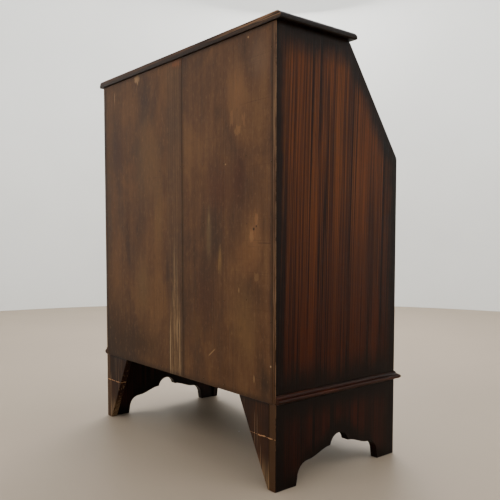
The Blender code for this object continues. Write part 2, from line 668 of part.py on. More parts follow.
# ---------------------------------------------------------------- drawers
def handle_meshes():
    """The plate with its two posts, and the bail, about the middle of the bail's axis. The front is -Y."""
    seat = POST_REACH
    w, h = PLATE_HALF_WIDTH, PLATE_HALF_HEIGHT
    half = [(0.0, -h * 0.80)]
    lobes = ((0.13, -1.00), (0.30, -0.92), (0.42, -0.62), (0.58, -0.60), (0.74, -0.82), (0.90, -0.60),
             (0.93, -0.22), (1.00, 0.05), (0.90, 0.34), (0.72, 0.45), (0.62, 0.74), (0.46, 0.70),
             (0.34, 0.52), (0.20, 0.68), (0.10, 0.95))
    half += [(w * x, h * z) for x, z in lobes]
    outline = half + [(0.0, h)] + [(-x, z) for x, z in half[:0:-1]]
    plate = add("plate", prism(outline, "Y", seat, seat + PLATE), "brass", ease=EASE / 2)
    ball = [(POST_BALL * math.cos(t), POST_BALL * math.sin(t)) for t in
            (math.radians(a) for a in (172, 140, 110, 80, 50))]
    flange = POST_BALL * 1.2
    profile = ball + [(POST_BALL * 0.95, POST_NECK), (seat - PLATE, POST_NECK), (seat - PLATE / 2, flange),
                      (seat + PLATE / 2, flange)]
    for sign in (-1, 1):
        post = turned(profile, "Y", 12)
        bmesh.ops.translate(post, vec=(sign * HANDLE_HALF_SPREAD, 0, 0), verts=post.verts)
        join(plate, post)
    cut(plate, turned([(-2 * HANDLE_HALF_SPREAD, POST_HOLE), (2 * HANDLE_HALF_SPREAD, POST_HOLE)], "X", 12))

    # The bail: pins through the posts from outside, then arms that swell out and curve under to the grip.
    reach = HANDLE_HALF_SPREAD + BAIL_OUT
    pin_end = HANDLE_HALF_SPREAD - POST_BALL
    half = [(pin_end, 0, BAIL_PIN)]
    half += [(x, z, BAIL_PIN) for x, z in
             arc((reach - BAIL_CORNER, -BAIL_CORNER), (BAIL_CORNER, BAIL_CORNER), 90, 0, 3)]
    swan_neck = ((1.03, 0.28, 0.2), (1.03, 0.48, 0.3), (0.95, 0.72, 0.4), (0.78, 0.92, 0.55),
                 (0.58, 1.00, 0.7), (0.38, 0.97, 0.85), (0.18, 0.90, 1.0))
    for x, z, swell in swan_neck:
        half.append((reach * x, -BAIL_DROP * z, BAIL_PIN + (BAIL_GRIP - BAIL_PIN) * swell))
    line = half + [(0.0, -BAIL_DROP * 0.88, BAIL_GRIP)] + [(-x, z, r) for x, z, r in half[::-1]]
    rings = []
    for i, (x, z, radius) in enumerate(line):
        before, after = line[max(i - 1, 0)], line[min(i + 1, len(line) - 1)]
        across = Vector((after[1] - before[1], 0, before[0] - after[0])).normalized()
        ring = []
        for k in range(8):
            turn = 2 * math.pi * k / 8
            offset = across * radius * math.cos(turn) + Vector((0, radius * math.sin(turn), 0))
            ring.append(Vector((x, 0, z)) + offset)
        rings.append(ring)
    bail = add("bail", stack(rings), "brass")
    meshes = baked(plate), baked(bail)
    for mesh in meshes:
        smooth(mesh)
    return meshes


def drawer(number, floor, height, half_width, plate, bail):
    """A drawer with its front, the frame of two sides and a back, its bottom, and two handles."""
    axis = joint_empty(f"drawer_axis_{number}", (0, FRONT_Y, floor))
    x = half_width - DRAWER_ROOM
    z = height - 2 * DRAWER_ROOM
    low = DRAWER_ROOM
    face = block((-x, -BEAD_PROUD, low), (x, DRAWER_FRONT, low + z))
    face.faces.ensure_lookup_table()
    front_face = min(face.faces, key=lambda f: f.calc_center_median().y)
    bmesh.ops.inset_region(face, faces=[front_face], thickness=BEAD)
    bmesh.ops.translate(face, vec=(0, BEAD_PROUD, 0), verts=front_face.verts)
    front = add(f"drawer_front_{number}", face, "stained_oak", parent=axis)

    bottom_z = low + DRAWER_BOTTOM_UP
    start = DRAWER_FRONT + GAP
    inner = x - DRAWER_SIDE
    length = DEPTH - BACK - DRAWER_BACK_ROOM
    back = length - DRAWER_SIDE
    outline = [(-x, start), (-x, length), (x, length), (x, start), (inner, start), (inner, back),
               (-inner, back), (-inner, start)]
    walls = prism(outline, "Z", low, low + z - DRAWER_SHORTER)
    frame = add(f"drawer_frame_{number}", walls, "drawer_lining", (0, start, low), axis, ease=EASE / 2)
    groove = DRAWER_GROOVE
    room = block((-inner - groove, DRAWER_FRONT - groove, bottom_z - GAP),
                 (inner + groove, back + groove, bottom_z + DRAWER_BOTTOM + GAP))
    cut(frame, room.copy())
    cut(front, room)
    gap = 2 * GAP
    add(f"drawer_bottom_{number}",
        block((-inner - groove + gap, DRAWER_FRONT - groove + gap, bottom_z),
              (inner + groove - gap, back + groove - gap, bottom_z + DRAWER_BOTTOM)), "drawer_lining",
        (0, start, bottom_z), axis)

    seat = -GAP - PLATE
    for side, sign in (("left", -1), ("right", 1)):
        place = (sign * HANDLE_FROM_MIDDLE, seat - POST_REACH, low + z / 2)
        add_mesh(f"handle_plate_{number}_{side}", plate, "brass", place, axis)
        bail_axis = joint_empty(f"bail_axis_{number}_{side}", place, parent=axis)
        add_mesh(f"bail_{number}_{side}", bail, "brass", (0, 0, 0), bail_axis)


def drawers(plate, bail):
    levels = shelf_levels()
    boards = ("writing_board", "dust_board_upper", "dust_board_lower", "bottom_board")
    widths = (PARTITION_X - PARTITION, INNER, INNER)
    for number, (above, below, half_width) in enumerate(zip(boards, boards[1:], widths), 1):
        floor = sum(levels[below])
        drawer(number, floor, levels[above][0] - floor, half_width, plate, bail)


# ---------------------------------------------------------------- pigeonhole unit
def bay_edges():
    """Left faces of the unit's six uprights."""
    edges = [-INNER + GAP]
    for bay in (OUTER_BAY, MIDDLE_BAY, MIDDLE_BAY, MIDDLE_BAY, OUTER_BAY):
        edges.append(edges[-1] + UNIT_BOARD + bay)
    edges[-1] -= 2 * GAP
    return edges


def pigeonholes(knob):
    """The unit: six uprights under a top, and a shelf over the small drawer at each end."""
    back = INNER_BACK_Y - 2 * GAP
    edges = bay_edges()
    ceiling = UNIT_TOP - UNIT_BOARD
    whole = block((edges[0], UNIT_FRONT_Y, HINGE_Z + GAP), (edges[-1] + UNIT_BOARD, back, UNIT_TOP))
    unit = add("pigeonhole_case", whole, "stained_oak", (0, back, HINGE_Z))
    bays = list(zip(edges, edges[1:]))
    past = UNIT_BOARD  # a bay's cutter runs this far past the faces that it opens
    for number, (left, right) in enumerate(bays):
        holds_drawer = number in (0, len(bays) - 1)
        floors = [HINGE_Z - past, UNIT_SHELF_Z + UNIT_BOARD] if holds_drawer else [HINGE_Z - past]
        roofs = [UNIT_SHELF_Z, ceiling] if holds_drawer else [ceiling]
        for floor, roof in zip(floors, roofs):
            cut(unit, block((left + UNIT_BOARD, UNIT_FRONT_Y - past, floor), (right, back + past, roof)))

    room = DRAWER_ROOM
    length = back - UNIT_FRONT_Y - SMALL_BACK_ROOM
    for side, (left, right) in (("left", bays[0]), ("right", bays[-1])):
        half = (right - left - UNIT_BOARD) / 2 - room
        height = SMALL_DRAWER_OPENING - 2 * room
        axis = joint_empty(f"small_drawer_axis_{side}",
                           ((left + UNIT_BOARD + right) / 2, UNIT_FRONT_Y, HINGE_Z + room / 2))
        box = add(f"small_drawer_{side}", block((-half, 0, 0), (half, length, height)), "drawer_lining",
                  parent=axis, ease=EASE / 2)
        cut(box, block((-half + SMALL_WALL, SMALL_FRONT, SMALL_WALL),
                       (half - SMALL_WALL, length - SMALL_WALL, height + past)))
        add_mesh(f"small_knob_{side}", knob, "brass", (0, -GAP, height / 2), axis)


side_panels()
shelves()
top_board()
back_panels()
loper_partitions()
base_boards()
base_mouldings()
fall_parts()
KNOB = knob_mesh()
lopers(KNOB)
drawers(*handle_meshes())
pigeonholes(KNOB)
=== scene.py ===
"""Looks for the slant-front secretary desk: veneer, aged back boards, brass, leather and small fittings.

Metres, +Z up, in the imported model's frame. The desk's front faces -Y, and its user's left is -X.
"""

import json
import math

import bmesh
import bpy
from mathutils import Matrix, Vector


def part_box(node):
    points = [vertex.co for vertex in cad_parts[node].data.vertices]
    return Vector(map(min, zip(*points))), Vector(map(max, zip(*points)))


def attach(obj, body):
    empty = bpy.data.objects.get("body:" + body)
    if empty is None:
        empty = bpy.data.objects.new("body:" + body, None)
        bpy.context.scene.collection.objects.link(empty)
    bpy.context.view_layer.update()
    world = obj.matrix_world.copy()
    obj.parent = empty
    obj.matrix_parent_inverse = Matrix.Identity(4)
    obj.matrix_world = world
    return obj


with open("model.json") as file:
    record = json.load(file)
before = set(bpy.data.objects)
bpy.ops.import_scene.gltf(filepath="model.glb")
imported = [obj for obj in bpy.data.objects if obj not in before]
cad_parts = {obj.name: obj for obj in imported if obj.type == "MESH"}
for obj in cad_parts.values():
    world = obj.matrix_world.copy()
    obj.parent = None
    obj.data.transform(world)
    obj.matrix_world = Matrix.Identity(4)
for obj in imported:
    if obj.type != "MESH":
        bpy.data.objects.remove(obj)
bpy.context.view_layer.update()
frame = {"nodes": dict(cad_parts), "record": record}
NODES = frame["nodes"]
JOINTS = {joint["name"]: joint for joint in frame["record"]["behaviour"]["joints"]}

X, Y, Z = Vector((1, 0, 0)), Vector((0, 1, 0)), Vector((0, 0, 1))
FALL_SWING = math.radians(JOINTS["fall_hinge"]["range_deg"][1])
UP_FALL = Vector((0, -math.cos(FALL_SWING), math.sin(FALL_SWING)))  # the fall opens to the horizontal
OUT_OF_FALL = X.cross(UP_FALL)
SLANT_OUT = 0.0105  # the side panels' slanted edge, out from the hinge axis


# ---------------------------------------------------------------- shader building
class Shader:
    """One material's nodes. Each method adds a node and returns its output."""

    def __init__(self, name):
        self.material = bpy.data.materials.new(name)
        self.material.use_nodes = True
        self.tree = self.material.node_tree
        self.surface = self.tree.nodes["Principled BSDF"]
        self.place = self.tree.nodes.new("ShaderNodeTexCoord").outputs["Object"]

    def make(self, kind, inputs, **settings):
        node = self.tree.nodes.new(kind)
        for key, value in settings.items():
            setattr(node, key, value)
        for key, value in inputs.items():
            if isinstance(value, bpy.types.NodeSocket):
                self.tree.links.new(value, node.inputs[key])
            else:
                node.inputs[key].default_value = value
        return node

    def math(self, operation, *values):
        return self.make("ShaderNodeMath", dict(enumerate(values)), operation=operation).outputs[0]

    def times(self, a, b):
        return self.math("MULTIPLY", a, b)

    def plus(self, a, b):
        return self.math("ADD", a, b)

    def minus(self, a, b):
        return self.math("SUBTRACT", a, b)

    def away(self, a, b):
        """How far apart two values are."""
        return self.math("ABSOLUTE", self.minus(a, b))

    def dot(self, direction):
        """The distance along a direction, from the rest coordinates' origin."""
        inputs = {0: self.place, 1: tuple(direction)}
        return self.make("ShaderNodeVectorMath", inputs, operation="DOT_PRODUCT").outputs["Value"]

    def vector(self, x, y, z):
        return self.make("ShaderNodeCombineXYZ", {0: x, 1: y, 2: z}).outputs[0]

    def smooth(self, value, low, high):
        """0 below low, 1 above high, and smooth between."""
        inputs = {"Value": value, "From Min": low, "From Max": high}
        return self.make("ShaderNodeMapRange", inputs, interpolation_type="SMOOTHSTEP").outputs["Result"]

    def noise(self, vector, scale, detail=3.0, roughness=0.5, distortion=0.0, seed=0.0):
        """Noise from 0 to 1, with its own scale along each axis."""
        shift = (seed * 7.31, seed * 3.17, seed * 5.53)
        place = self.make("ShaderNodeMapping", {"Vector": vector, "Location": shift, "Scale": scale})
        inputs = {"Vector": place.outputs[0], "Scale": 1.0, "Detail": detail, "Roughness": roughness,
                  "Distortion": distortion}
        return self.make("ShaderNodeTexNoise", inputs).outputs[0]

    def ramp(self, value, *stops):
        """A colour from (position, colour) stops."""
        node = self.make("ShaderNodeValToRGB", {0: value})
        elements = node.color_ramp.elements
        while len(elements) < len(stops):
            elements.new(0.5)
        for element, (position, colour) in zip(elements, stops):
            element.position = position
            element.color = (*colour, 1.0)
        return node.outputs[0]

    def mix(self, factor, a, b, blend="MIX"):
        a, b = ((*c, 1.0) if isinstance(c, tuple) else c for c in (a, b))
        node = self.make("ShaderNodeMix", {0: factor, 6: a, 7: b}, data_type="RGBA", blend_type=blend)
        return node.outputs[2]

    def tint(self, colour, where, strength, other):
        """The colour, with another mixed in where it says, this strongly."""
        return self.mix(self.times(where, strength), colour, other)

    def blot(self, u, v, centre, radii, ragged, scale):
        """1 in the middle of an oval on the (u, v) plane and 0 outside it, with a ragged outline."""
        du = self.math("DIVIDE", self.minus(u, centre[0]), radii[0])
        dv = self.math("DIVIDE", self.minus(v, centre[1]), radii[1])
        away = self.math("SQRT", self.plus(self.times(du, du), self.times(dv, dv)))
        rough = self.noise(self.place, scale, detail=4.0, roughness=0.6, seed=1.0)
        away = self.plus(away, self.times(self.minus(rough, 0.5), ragged))
        return self.smooth(away, 1.0, 0.0)

    def finish(self, colour, roughness, height=None, depth=0.0002, **constants):
        """Fills in the surface: the height reaches over depth metres, and constants are other inputs."""
        links = {"Base Color": colour, "Roughness": roughness}
        if height is not None:
            bump = self.make("ShaderNodeBump", {"Height": height, "Distance": depth, "Strength": 1.0})
            links["Normal"] = bump.outputs[0]
        for key, value in links.items():
            if isinstance(value, bpy.types.NodeSocket):
                self.tree.links.new(value, self.surface.inputs[key])
            else:
                self.surface.inputs[key].default_value = value
        for key, value in constants.items():
            self.surface.inputs[key.replace("_", " ")].default_value = value
        return self.material


def srgb(*values):
    """A linear colour from the usual 0 to 255 values."""
    shares = [value / 255 for value in values]
    return tuple(c / 12.92 if c <= 0.04045 else ((c + 0.055) / 1.055) ** 2.4 for c in shares)


def under_light(*lift):
    """Colours by the 0 to 255 values they should show in the studio, where its light lifts them so much."""
    return lambda *values: tuple(c / by for c, by in zip(srgb(*values), lift))


stain = under_light(1.25, 1.95, 3.6)  # dark varnished wood
bare = under_light(1.30, 1.50, 1.95)  # dull wood


def dress(node, material):
    mesh = NODES[node].data
    mesh.materials.clear()
    mesh.materials.append(material)


# ---------------------------------------------------------------- stained and shaded veneer
VARNISH = {"Specular_IOR_Level": 0.11, "Coat_Weight": 0.04, "Coat_Roughness": 0.22}
WALNUT = (stain(60, 35, 16), stain(90, 57, 27), stain(122, 84, 40))
FRONT_WALNUT = tuple(tuple(c * 0.66 for c in tone) for tone in WALNUT)  # for faces in the stronger light
# Darker, redder tones for the base and apron: partly the wood's own colour, partly painted shade for the
# dim low part of the desk.
DARK_RED_WOOD_AND_SHADE = (stain(20, 7, 3), stain(38, 13, 5), stain(60, 24, 8))
SHADED = stain(11, 5, 4)  # the stain along the edges
SHADE_STRENGTH, SHADE_STREAKS = 0.93, 0.55
WORN = bare(150, 124, 102)  # bare wood on a rubbed arris
BREAK_Z = 0.114  # the rear feet were broken off at this height once, and glued


def box_edges(node, widths):
    """A node's faces as (inward direction, offset, fade width), for widths such as {"Y": (0.02, 0.03)}."""
    low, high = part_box(node)
    edges = []
    for axis, (at_low, at_high) in widths.items():
        i = "XYZ".index(axis)
        direction = Vector([float(k == i) for k in range(3)])
        edges += [(direction, low[i], at_low), (-direction, -high[i], at_high)]
    return edges


def inset(s, edges):
    """0 at the nearest edge and 1 at that edge's own fade width inside it."""
    nearest = None
    for direction, offset, width in edges:
        depth = s.math("DIVIDE", s.minus(s.dot(direction), offset), width)
        nearest = depth if nearest is None else s.math("SMOOTH_MIN", nearest, depth, 0.5)
    return nearest


def arris(s, first, second, width, seed):
    """1 along the line where two planes (inward direction, offset) meet, broken up as wear is."""
    away = s.math("MAXIMUM", *[s.minus(s.dot(d), offset) for d, offset in (first, second)])
    patchy = s.noise(s.place, (70, 70, 14), detail=5.0, roughness=0.7, seed=seed)
    reach = s.times(s.smooth(patchy, 0.36, 0.62), width)
    return s.math("LESS_THAN", away, reach)


class Figure:
    """The veneer's straight ribbon figure. Grain and across are directions, and tones run dark to light."""

    def __init__(self, name, grain, across, tones, seed, size=1.0, lean=0.0):
        s = self.shader = Shader(name)
        u, v, w = s.dot(across), s.dot(grain), s.dot(across.cross(grain))
        at = s.vector(u, v, w)
        sway = s.noise(at, (5, 1.3, 5), detail=2.0, seed=seed)
        u = s.plus(u, s.times(s.minus(sway, 0.5), 0.014))
        u = s.plus(u, s.times(v, lean))
        at = s.vector(s.math("DIVIDE", u, size), v, s.math("DIVIDE", w, size))

        broad = s.noise(at, (13, 0.5, 13), detail=2.0, seed=seed + 1)
        ribbon = s.noise(at, (52, 0.45, 52), detail=5.0, roughness=0.72, seed=seed + 2)
        fine = s.noise(at, (380, 3.0, 380), detail=3.0, roughness=0.6, seed=seed + 3)
        tone = s.plus(s.times(broad, 0.20), s.times(ribbon, 0.38))
        tone = s.plus(tone, s.times(fine, 0.42))
        colour = s.ramp(tone, (0.36, tones[0]), (0.50, tones[1]), (0.64, tones[2]))

        self.lines = self.contours(at, (50, 0.20, 50), 0.030, seed + 4)
        fine_lines = self.contours(at, (120, 0.40, 120), 0.060, seed + 5)
        dark = tuple(c * 0.22 for c in tones[0])
        colour = s.tint(colour, fine_lines, 0.65, dark)
        colour = s.tint(colour, self.lines, 0.90, dark)
        self.pores = s.smooth(s.noise(at, (1300, 34, 1300), detail=1.0, seed=seed + 6), 0.60, 0.70)
        colour = s.tint(colour, self.pores, 0.5, dark)
        self.seed, self.streak, self.fine, self.colour = seed, ribbon, fine, colour

    def contours(self, at, scale, width, seed):
        """Thin lines that follow the grain: where slow noise passes through its middle."""
        s = self.shader
        away = s.away(s.noise(at, scale, detail=1.5, seed=seed), 0.5)
        fade = s.noise(at, (scale[0] * 0.4, 2.2, scale[2] * 0.4), detail=2.0, seed=seed + 0.5)
        return s.times(s.smooth(away, width, width * 0.6), s.smooth(fade, 0.36, 0.52))

    def cloud(self, colour, strength, scale=(4, 4, 4)):
        s = self.shader
        patches = s.smooth(s.noise(s.place, scale, detail=3.0, seed=self.seed + 7), 0.46, 0.66)
        self.colour = s.tint(self.colour, patches, strength, colour)

    def shade(self, depth):
        """Darkens towards the edges: depth is 0 at the edge, and 1 where the shading ends."""
        s = self.shader
        cloudy = s.noise(s.place, (16, 16, 16), detail=3.0, seed=self.seed + 8)
        uneven = s.plus(s.minus(self.streak, 0.5), s.minus(cloudy, 0.5))
        depth = s.plus(depth, s.times(uneven, SHADE_STREAKS))
        self.colour = s.tint(self.colour, s.smooth(depth, 1.0, 0.22), SHADE_STRENGTH, SHADED)

    def varnish(self, roughness=0.36):
        s = self.shader
        handled = s.noise(s.place, (24, 24, 24), detail=5.0, roughness=0.6, seed=self.seed + 9)
        rough = s.plus(s.times(s.minus(handled, 0.5), 0.20), roughness)
        rough = s.plus(rough, s.times(self.pores, 0.14))
        relief = s.minus(s.times(self.fine, 0.4), s.times(self.pores, 0.8))
        relief = s.minus(relief, s.times(self.lines, 0.5))
        return s.finish(self.colour, rough, relief, depth=0.00010, **VARNISH)


# ---------------------------------------------------------------- the pieces' materials
def side_panels():
    hinge = Vector(JOINTS["fall_hinge"]["pos_m"])
    for side, outward, seed in (("left", -X, 3.0), ("right", X, 13.0)):
        node = f"{side}_side_panel"
        low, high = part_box(node)
        figure = Figure(f"{side}_side_veneer", Z, Y, WALNUT, seed, lean=0.03)
        s = figure.shader
        height = s.dot(Z)
        # Painted shade: darker and redder towards the bottom, for the light that falls off lower down.
        shaded_low = s.mix(1.0, figure.colour, (0.42, 0.26, 0.18), "MULTIPLY")
        figure.colour = s.mix(s.smooth(height, low.z + 0.55, low.z + 0.05), figure.colour, shaded_low)
        figure.cloud(stain(40, 22, 14), 0.28, (5, 5, 2))
        edges = box_edges(node, {"Y": (0.050, 0.036), "Z": (0.105, 0.075)})
        slant_offset = -hinge.dot(OUT_OF_FALL) - SLANT_OUT
        figure.shade(inset(s, edges + [(-OUT_OF_FALL, slant_offset, 0.055)]))
        # The bare back edge, darker where the back board meets the panel.
        rubs = s.noise(s.place, (90, 90, 5), detail=5.0, roughness=0.7, seed=seed + 20)
        strip = s.ramp(rubs, (0.38, bare(48, 30, 20)), (0.52, bare(80, 56, 38)), (0.66, bare(126, 102, 82)))
        inner_face, outer_face = sorted((low.dot(outward), high.dot(outward)))
        joint = s.away(s.dot(outward), inner_face)
        strip = s.mix(s.smooth(joint, 0.0105, 0.0085), strip, bare(40, 22, 14))
        behind = s.smooth(s.dot(Y), high.y - 0.0012, high.y - 0.0004)
        figure.colour = s.mix(behind, figure.colour, strip)
        worn = arris(s, (-outward, -outer_face), (-Y, -high.y), 0.0013, seed)
        figure.colour = s.tint(figure.colour, worn, 0.6, WORN)
        dress(node, figure.varnish())


def base_shade(s, node):
    """The dark border of a base side, which follows the shaped lower edge as well as the box."""
    low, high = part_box(node)
    middle = (low.y + high.y) / 2
    away = s.away(s.dot(Y), middle)
    half = (high.y - low.y) / 2
    edge = s.times(s.smooth(away, half - 0.062, half - 0.100), 0.052)
    edge = s.plus(edge, s.times(s.smooth(away, 0.085, 0.0), 0.045))
    above = s.math("DIVIDE", s.minus(s.dot(Z), edge), 0.048)
    sides = inset(s, box_edges(node, {"Y": (0.050, 0.045)}) + [(-Z, -high.z, 0.055)])
    return s.math("SMOOTH_MIN", sides, above, 0.5)


def base_boards():
    for number, side in enumerate(("left", "right")):
        node = f"base_side_{side}"
        figure = Figure(f"base_veneer_{side}", Z, Y, DARK_RED_WOOD_AND_SHADE, 21.0 + number)
        s = figure.shader
        figure.shade(base_shade(s, node))
        low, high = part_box(node)
        outer = (X, low.x) if side == "left" else (-X, -high.x)
        rubbed = arris(s, outer, (-Y, -high.y), 0.0022, 23.0)
        figure.colour = s.tint(figure.colour, rubbed, 0.5, WORN)
        behind = s.smooth(s.dot(Y), high.y - 0.0012, high.y - 0.0002)
        figure.colour = s.mix(behind, figure.colour, break_line(s, bare(74, 54, 40), 29.0))
        dress(node, figure.varnish(0.42))
    figure = Figure("apron_veneer", X, Z, DARK_RED_WOOD_AND_SHADE, 24.0)
    figure.shade(inset(figure.shader, box_edges("front_apron", {"X": (0.05, 0.05), "Z": (0.03, 0.04)})))
    dress("front_apron", figure.varnish())


def break_line(s, colour, seed):
    """Bare wood showing along a ragged horizontal crack."""
    ragged = s.noise(s.place, (90, 90, 1), detail=4.0, roughness=0.7, seed=seed)
    height = s.plus(s.dot(Z), s.times(s.minus(ragged, 0.5), 0.006))
    away = s.away(height, BREAK_Z)
    patchy = s.noise(s.place, (120, 120, 40), detail=3.0, seed=seed + 1)
    width = s.times(s.smooth(patchy, 0.35, 0.6), 0.0014)
    return s.mix(s.math("LESS_THAN", away, width), colour, bare(188, 152, 122))


def front_and_inside():
    for number in (1, 2, 3):
        node = f"drawer_front_{number}"
        figure = Figure(f"drawer_veneer_{number}", X, Z, FRONT_WALNUT, 30.0 + number)
        figure.shade(inset(figure.shader, box_edges(node, {"X": (0.06, 0.06), "Z": (0.030, 0.030)})))
        dress(node, figure.varnish())
    hinge = Vector(JOINTS["fall_hinge"]["pos_m"])
    foot = hinge.dot(UP_FALL)
    length = (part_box("fall_board")[1].z - hinge.z) / UP_FALL.z
    figure = Figure("fall_veneer", X, UP_FALL, FRONT_WALNUT, 37.0)
    along_fall = [(UP_FALL, foot, 0.045), (-UP_FALL, -foot - length, 0.045)]
    figure.shade(inset(figure.shader, box_edges("fall_board", {"X": (0.07, 0.07)}) + along_fall))
    dress("fall_board", figure.varnish())
    for seed, node in enumerate(("dust_board_upper", "dust_board_lower", "bottom_board", "writing_board")):
        figure = Figure(f"{node}_stain", X, Y, FRONT_WALNUT, 41.0 + seed)
        figure.cloud(stain(38, 22, 16), 0.6)
        dress(node, figure.varnish(0.45))
    for side, seed in (("left", 50.0), ("right", 52.0)):
        for node in (f"loper_{side}", f"loper_partition_{side}"):
            figure = Figure(f"{node}_stain", Y, Z, WALNUT, seed)
            figure.cloud(stain(38, 22, 16), 0.6)
            dress(node, figure.varnish(0.45))
    figure = Figure("pigeonhole_stain", X, Z, WALNUT, 55.0)
    figure.cloud(stain(42, 24, 16), 0.5)
    dress("pigeonhole_case", figure.varnish(0.42))


def rubbed_moulding(name, grain, across, seed):
    """Dark moulding wood, reddish where it has been rubbed."""
    s = Shader(name)
    at = s.vector(s.dot(across), s.dot(grain), s.dot(across.cross(grain)))
    fine = s.noise(at, (420, 5, 420), detail=3.0, seed=seed)
    broad = s.noise(at, (24, 3, 24), detail=3.0, seed=seed + 1)
    tone = s.plus(s.times(fine, 0.5), s.times(broad, 0.5))
    colour = s.ramp(tone, (0.36, stain(15, 9, 8)), (0.62, stain(50, 26, 18)))
    rub = s.smooth(s.noise(at, (160, 9, 160), detail=5.0, roughness=0.65, seed=seed + 2), 0.55, 0.70)
    colour = s.tint(colour, rub, 0.55, stain(98, 58, 40))
    roughness = s.plus(s.times(broad, 0.25), 0.24)
    return s.finish(colour, roughness, fine, depth=0.0001, **VARNISH)


def mouldings_and_top():
    dress("base_moulding_front", rubbed_moulding("base_moulding_stain_front", X, Z, 62.0))
    for side in ("left", "right"):
        dress(f"base_moulding_{side}", rubbed_moulding(f"base_moulding_stain_{side}", Y, Z, 63.0))
    low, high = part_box("top_board")
    figure = Figure("top_veneer", X, Y, FRONT_WALNUT, 65.0)
    s = figure.shader
    figure.shade(inset(s, box_edges("top_board", {"X": (0.045, 0.045), "Y": (0.040, 0.040)})))
    behind = s.smooth(s.dot(Y), high.y - 0.0035, high.y - 0.0005)
    streaks = s.noise(s.place, (9, 200, 420), detail=4.0, roughness=0.65, seed=66.0)
    edge = s.ramp(streaks, (0.38, bare(38, 25, 19)), (0.52, bare(66, 44, 34)), (0.68, bare(98, 70, 54)))
    scuffed = s.times(s.smooth(streaks, 0.44, 0.60), s.smooth(s.dot(X), low.x + 0.26, low.x + 0.06))
    edge = s.tint(edge, scuffed, 0.85, bare(154, 122, 98))
    shadowed = s.smooth(s.dot(Z), low.z + 0.0085, low.z + 0.0060)
    edge = s.tint(edge, shadowed, 0.80, bare(28, 17, 12))
    figure.colour = s.tint(figure.colour, behind, 0.9, edge)
    dress("top_board", figure.varnish(0.40))


# What has happened to the back boards, in broad patches and in small marks, each of them
# (x, z, half width, half height, colour, strength, raggedness), with the places in metres.
PATCHES = (
    (-0.325, 0.920, 0.050, 0.070, bare(110, 88, 74), 0.55, 0.6),
    (-0.255, 0.860, 0.055, 0.120, bare(130, 97, 68), 0.65, 0.9),
    (-0.185, 0.826, 0.032, 0.040, bare(64, 44, 31), 0.60, 1.0),
    (-0.262, 0.674, 0.037, 0.080, bare(68, 36, 22), 0.75, 0.9),
    (-0.185, 0.655, 0.080, 0.100, bare(80, 46, 28), 0.65, 0.9),
    (-0.147, 0.555, 0.020, 0.095, bare(106, 89, 66), 0.60, 0.8),
    (-0.190, 0.492, 0.013, 0.055, bare(122, 97, 62), 0.65, 0.9),
    (-0.315, 0.545, 0.032, 0.080, bare(128, 93, 64), 0.70, 0.8),
    (-0.295, 0.495, 0.055, 0.055, bare(112, 78, 52), 0.50, 1.0),
    (-0.127, 0.400, 0.062, 0.110, bare(74, 44, 26), 0.65, 0.9),
    (-0.280, 0.355, 0.072, 0.125, bare(106, 82, 54), 0.60, 1.0),
    (-0.095, 0.315, 0.032, 0.065, bare(90, 66, 42), 0.50, 0.8),
    (-0.350, 0.228, 0.034, 0.050, bare(46, 33, 22), 0.70, 0.8),
    (-0.215, 0.232, 0.070, 0.045, bare(70, 43, 25), 0.55, 0.9),
    (0.128, 0.740, 0.095, 0.160, bare(106, 82, 56), 0.60, 0.8),
    (0.080, 0.600, 0.032, 0.125, bare(110, 88, 60), 0.50, 0.9),
    (0.166, 0.420, 0.048, 0.115, bare(112, 91, 64), 0.60, 0.9),
    (0.297, 0.780, 0.052, 0.135, bare(62, 38, 28), 0.65, 0.8),
    (0.246, 0.555, 0.024, 0.130, bare(58, 36, 26), 0.60, 0.8),
    (0.362, 0.600, 0.028, 0.380, bare(66, 52, 42), 0.55, 0.6),
    (0.180, 0.250, 0.180, 0.070, bare(58, 38, 22), 0.65, 0.8),
    (0.035, 0.455, 0.014, 0.060, bare(52, 35, 26), 0.60, 0.8),
)
MARKS = (
    (-0.254, 0.778, 0.016, 0.018, bare(140, 108, 78), 0.50, 3.6),
    (-0.234, 0.805, 0.009, 0.028, bare(132, 100, 72), 0.50, 3.0),
    (-0.277, 0.800, 0.010, 0.028, bare(132, 100, 72), 0.50, 3.0),
    (-0.293, 0.970, 0.0042, 0.0042, bare(170, 142, 116), 0.80, 1.2),
    (-0.212, 0.707, 0.0030, 0.0030, bare(164, 136, 112), 0.80, 1.2),
    (-0.173, 0.981, 0.0040, 0.0030, bare(30, 20, 15), 0.90, 1.2),
    (-0.304, 0.545, 0.015, 0.020, bare(142, 108, 78), 0.80, 2.0),
    (-0.320, 0.580, 0.009, 0.024, bare(136, 102, 74), 0.70, 2.0),
    (-0.312, 0.560, 0.0055, 0.0065, bare(32, 19, 14), 0.95, 1.2),
    (-0.320, 0.566, 0.0030, 0.0040, bare(36, 22, 16), 0.90, 1.2),
    (-0.190, 0.500, 0.0045, 0.030, bare(136, 108, 74), 0.55, 2.4),
    (-0.185, 0.476, 0.0035, 0.022, bare(132, 104, 70), 0.50, 2.4),
    (-0.147, 0.585, 0.0050, 0.040, bare(118, 101, 78), 0.65, 1.8),
    (-0.368, 0.269, 0.0035, 0.0035, bare(206, 190, 170), 0.95, 0.8),
    (-0.260, 0.425, 0.0030, 0.009, bare(142, 118, 88), 0.75, 1.6),
    (-0.321, 0.456, 0.011, 0.013, bare(122, 94, 66), 0.60, 2.4),
    (-0.313, 0.232, 0.0040, 0.013, bare(140, 116, 88), 0.75, 1.8),
    (0.185, 0.972, 0.020, 0.018, bare(160, 134, 106), 0.75, 2.4),
    (0.315, 0.942, 0.0013, 0.030, bare(184, 160, 132), 0.90, 0.5),
    (-0.009, 0.976, 0.034, 0.018, bare(126, 80, 52), 0.70, 2.4),
)
SCRATCH = (Vector((-0.141, 0, 0.258)), Vector((-0.172, 0, 0.281)))  # a pale stroke across the grain
TICK_Z, TICK_END = 0.530, -0.320  # a saw tick near the side panel


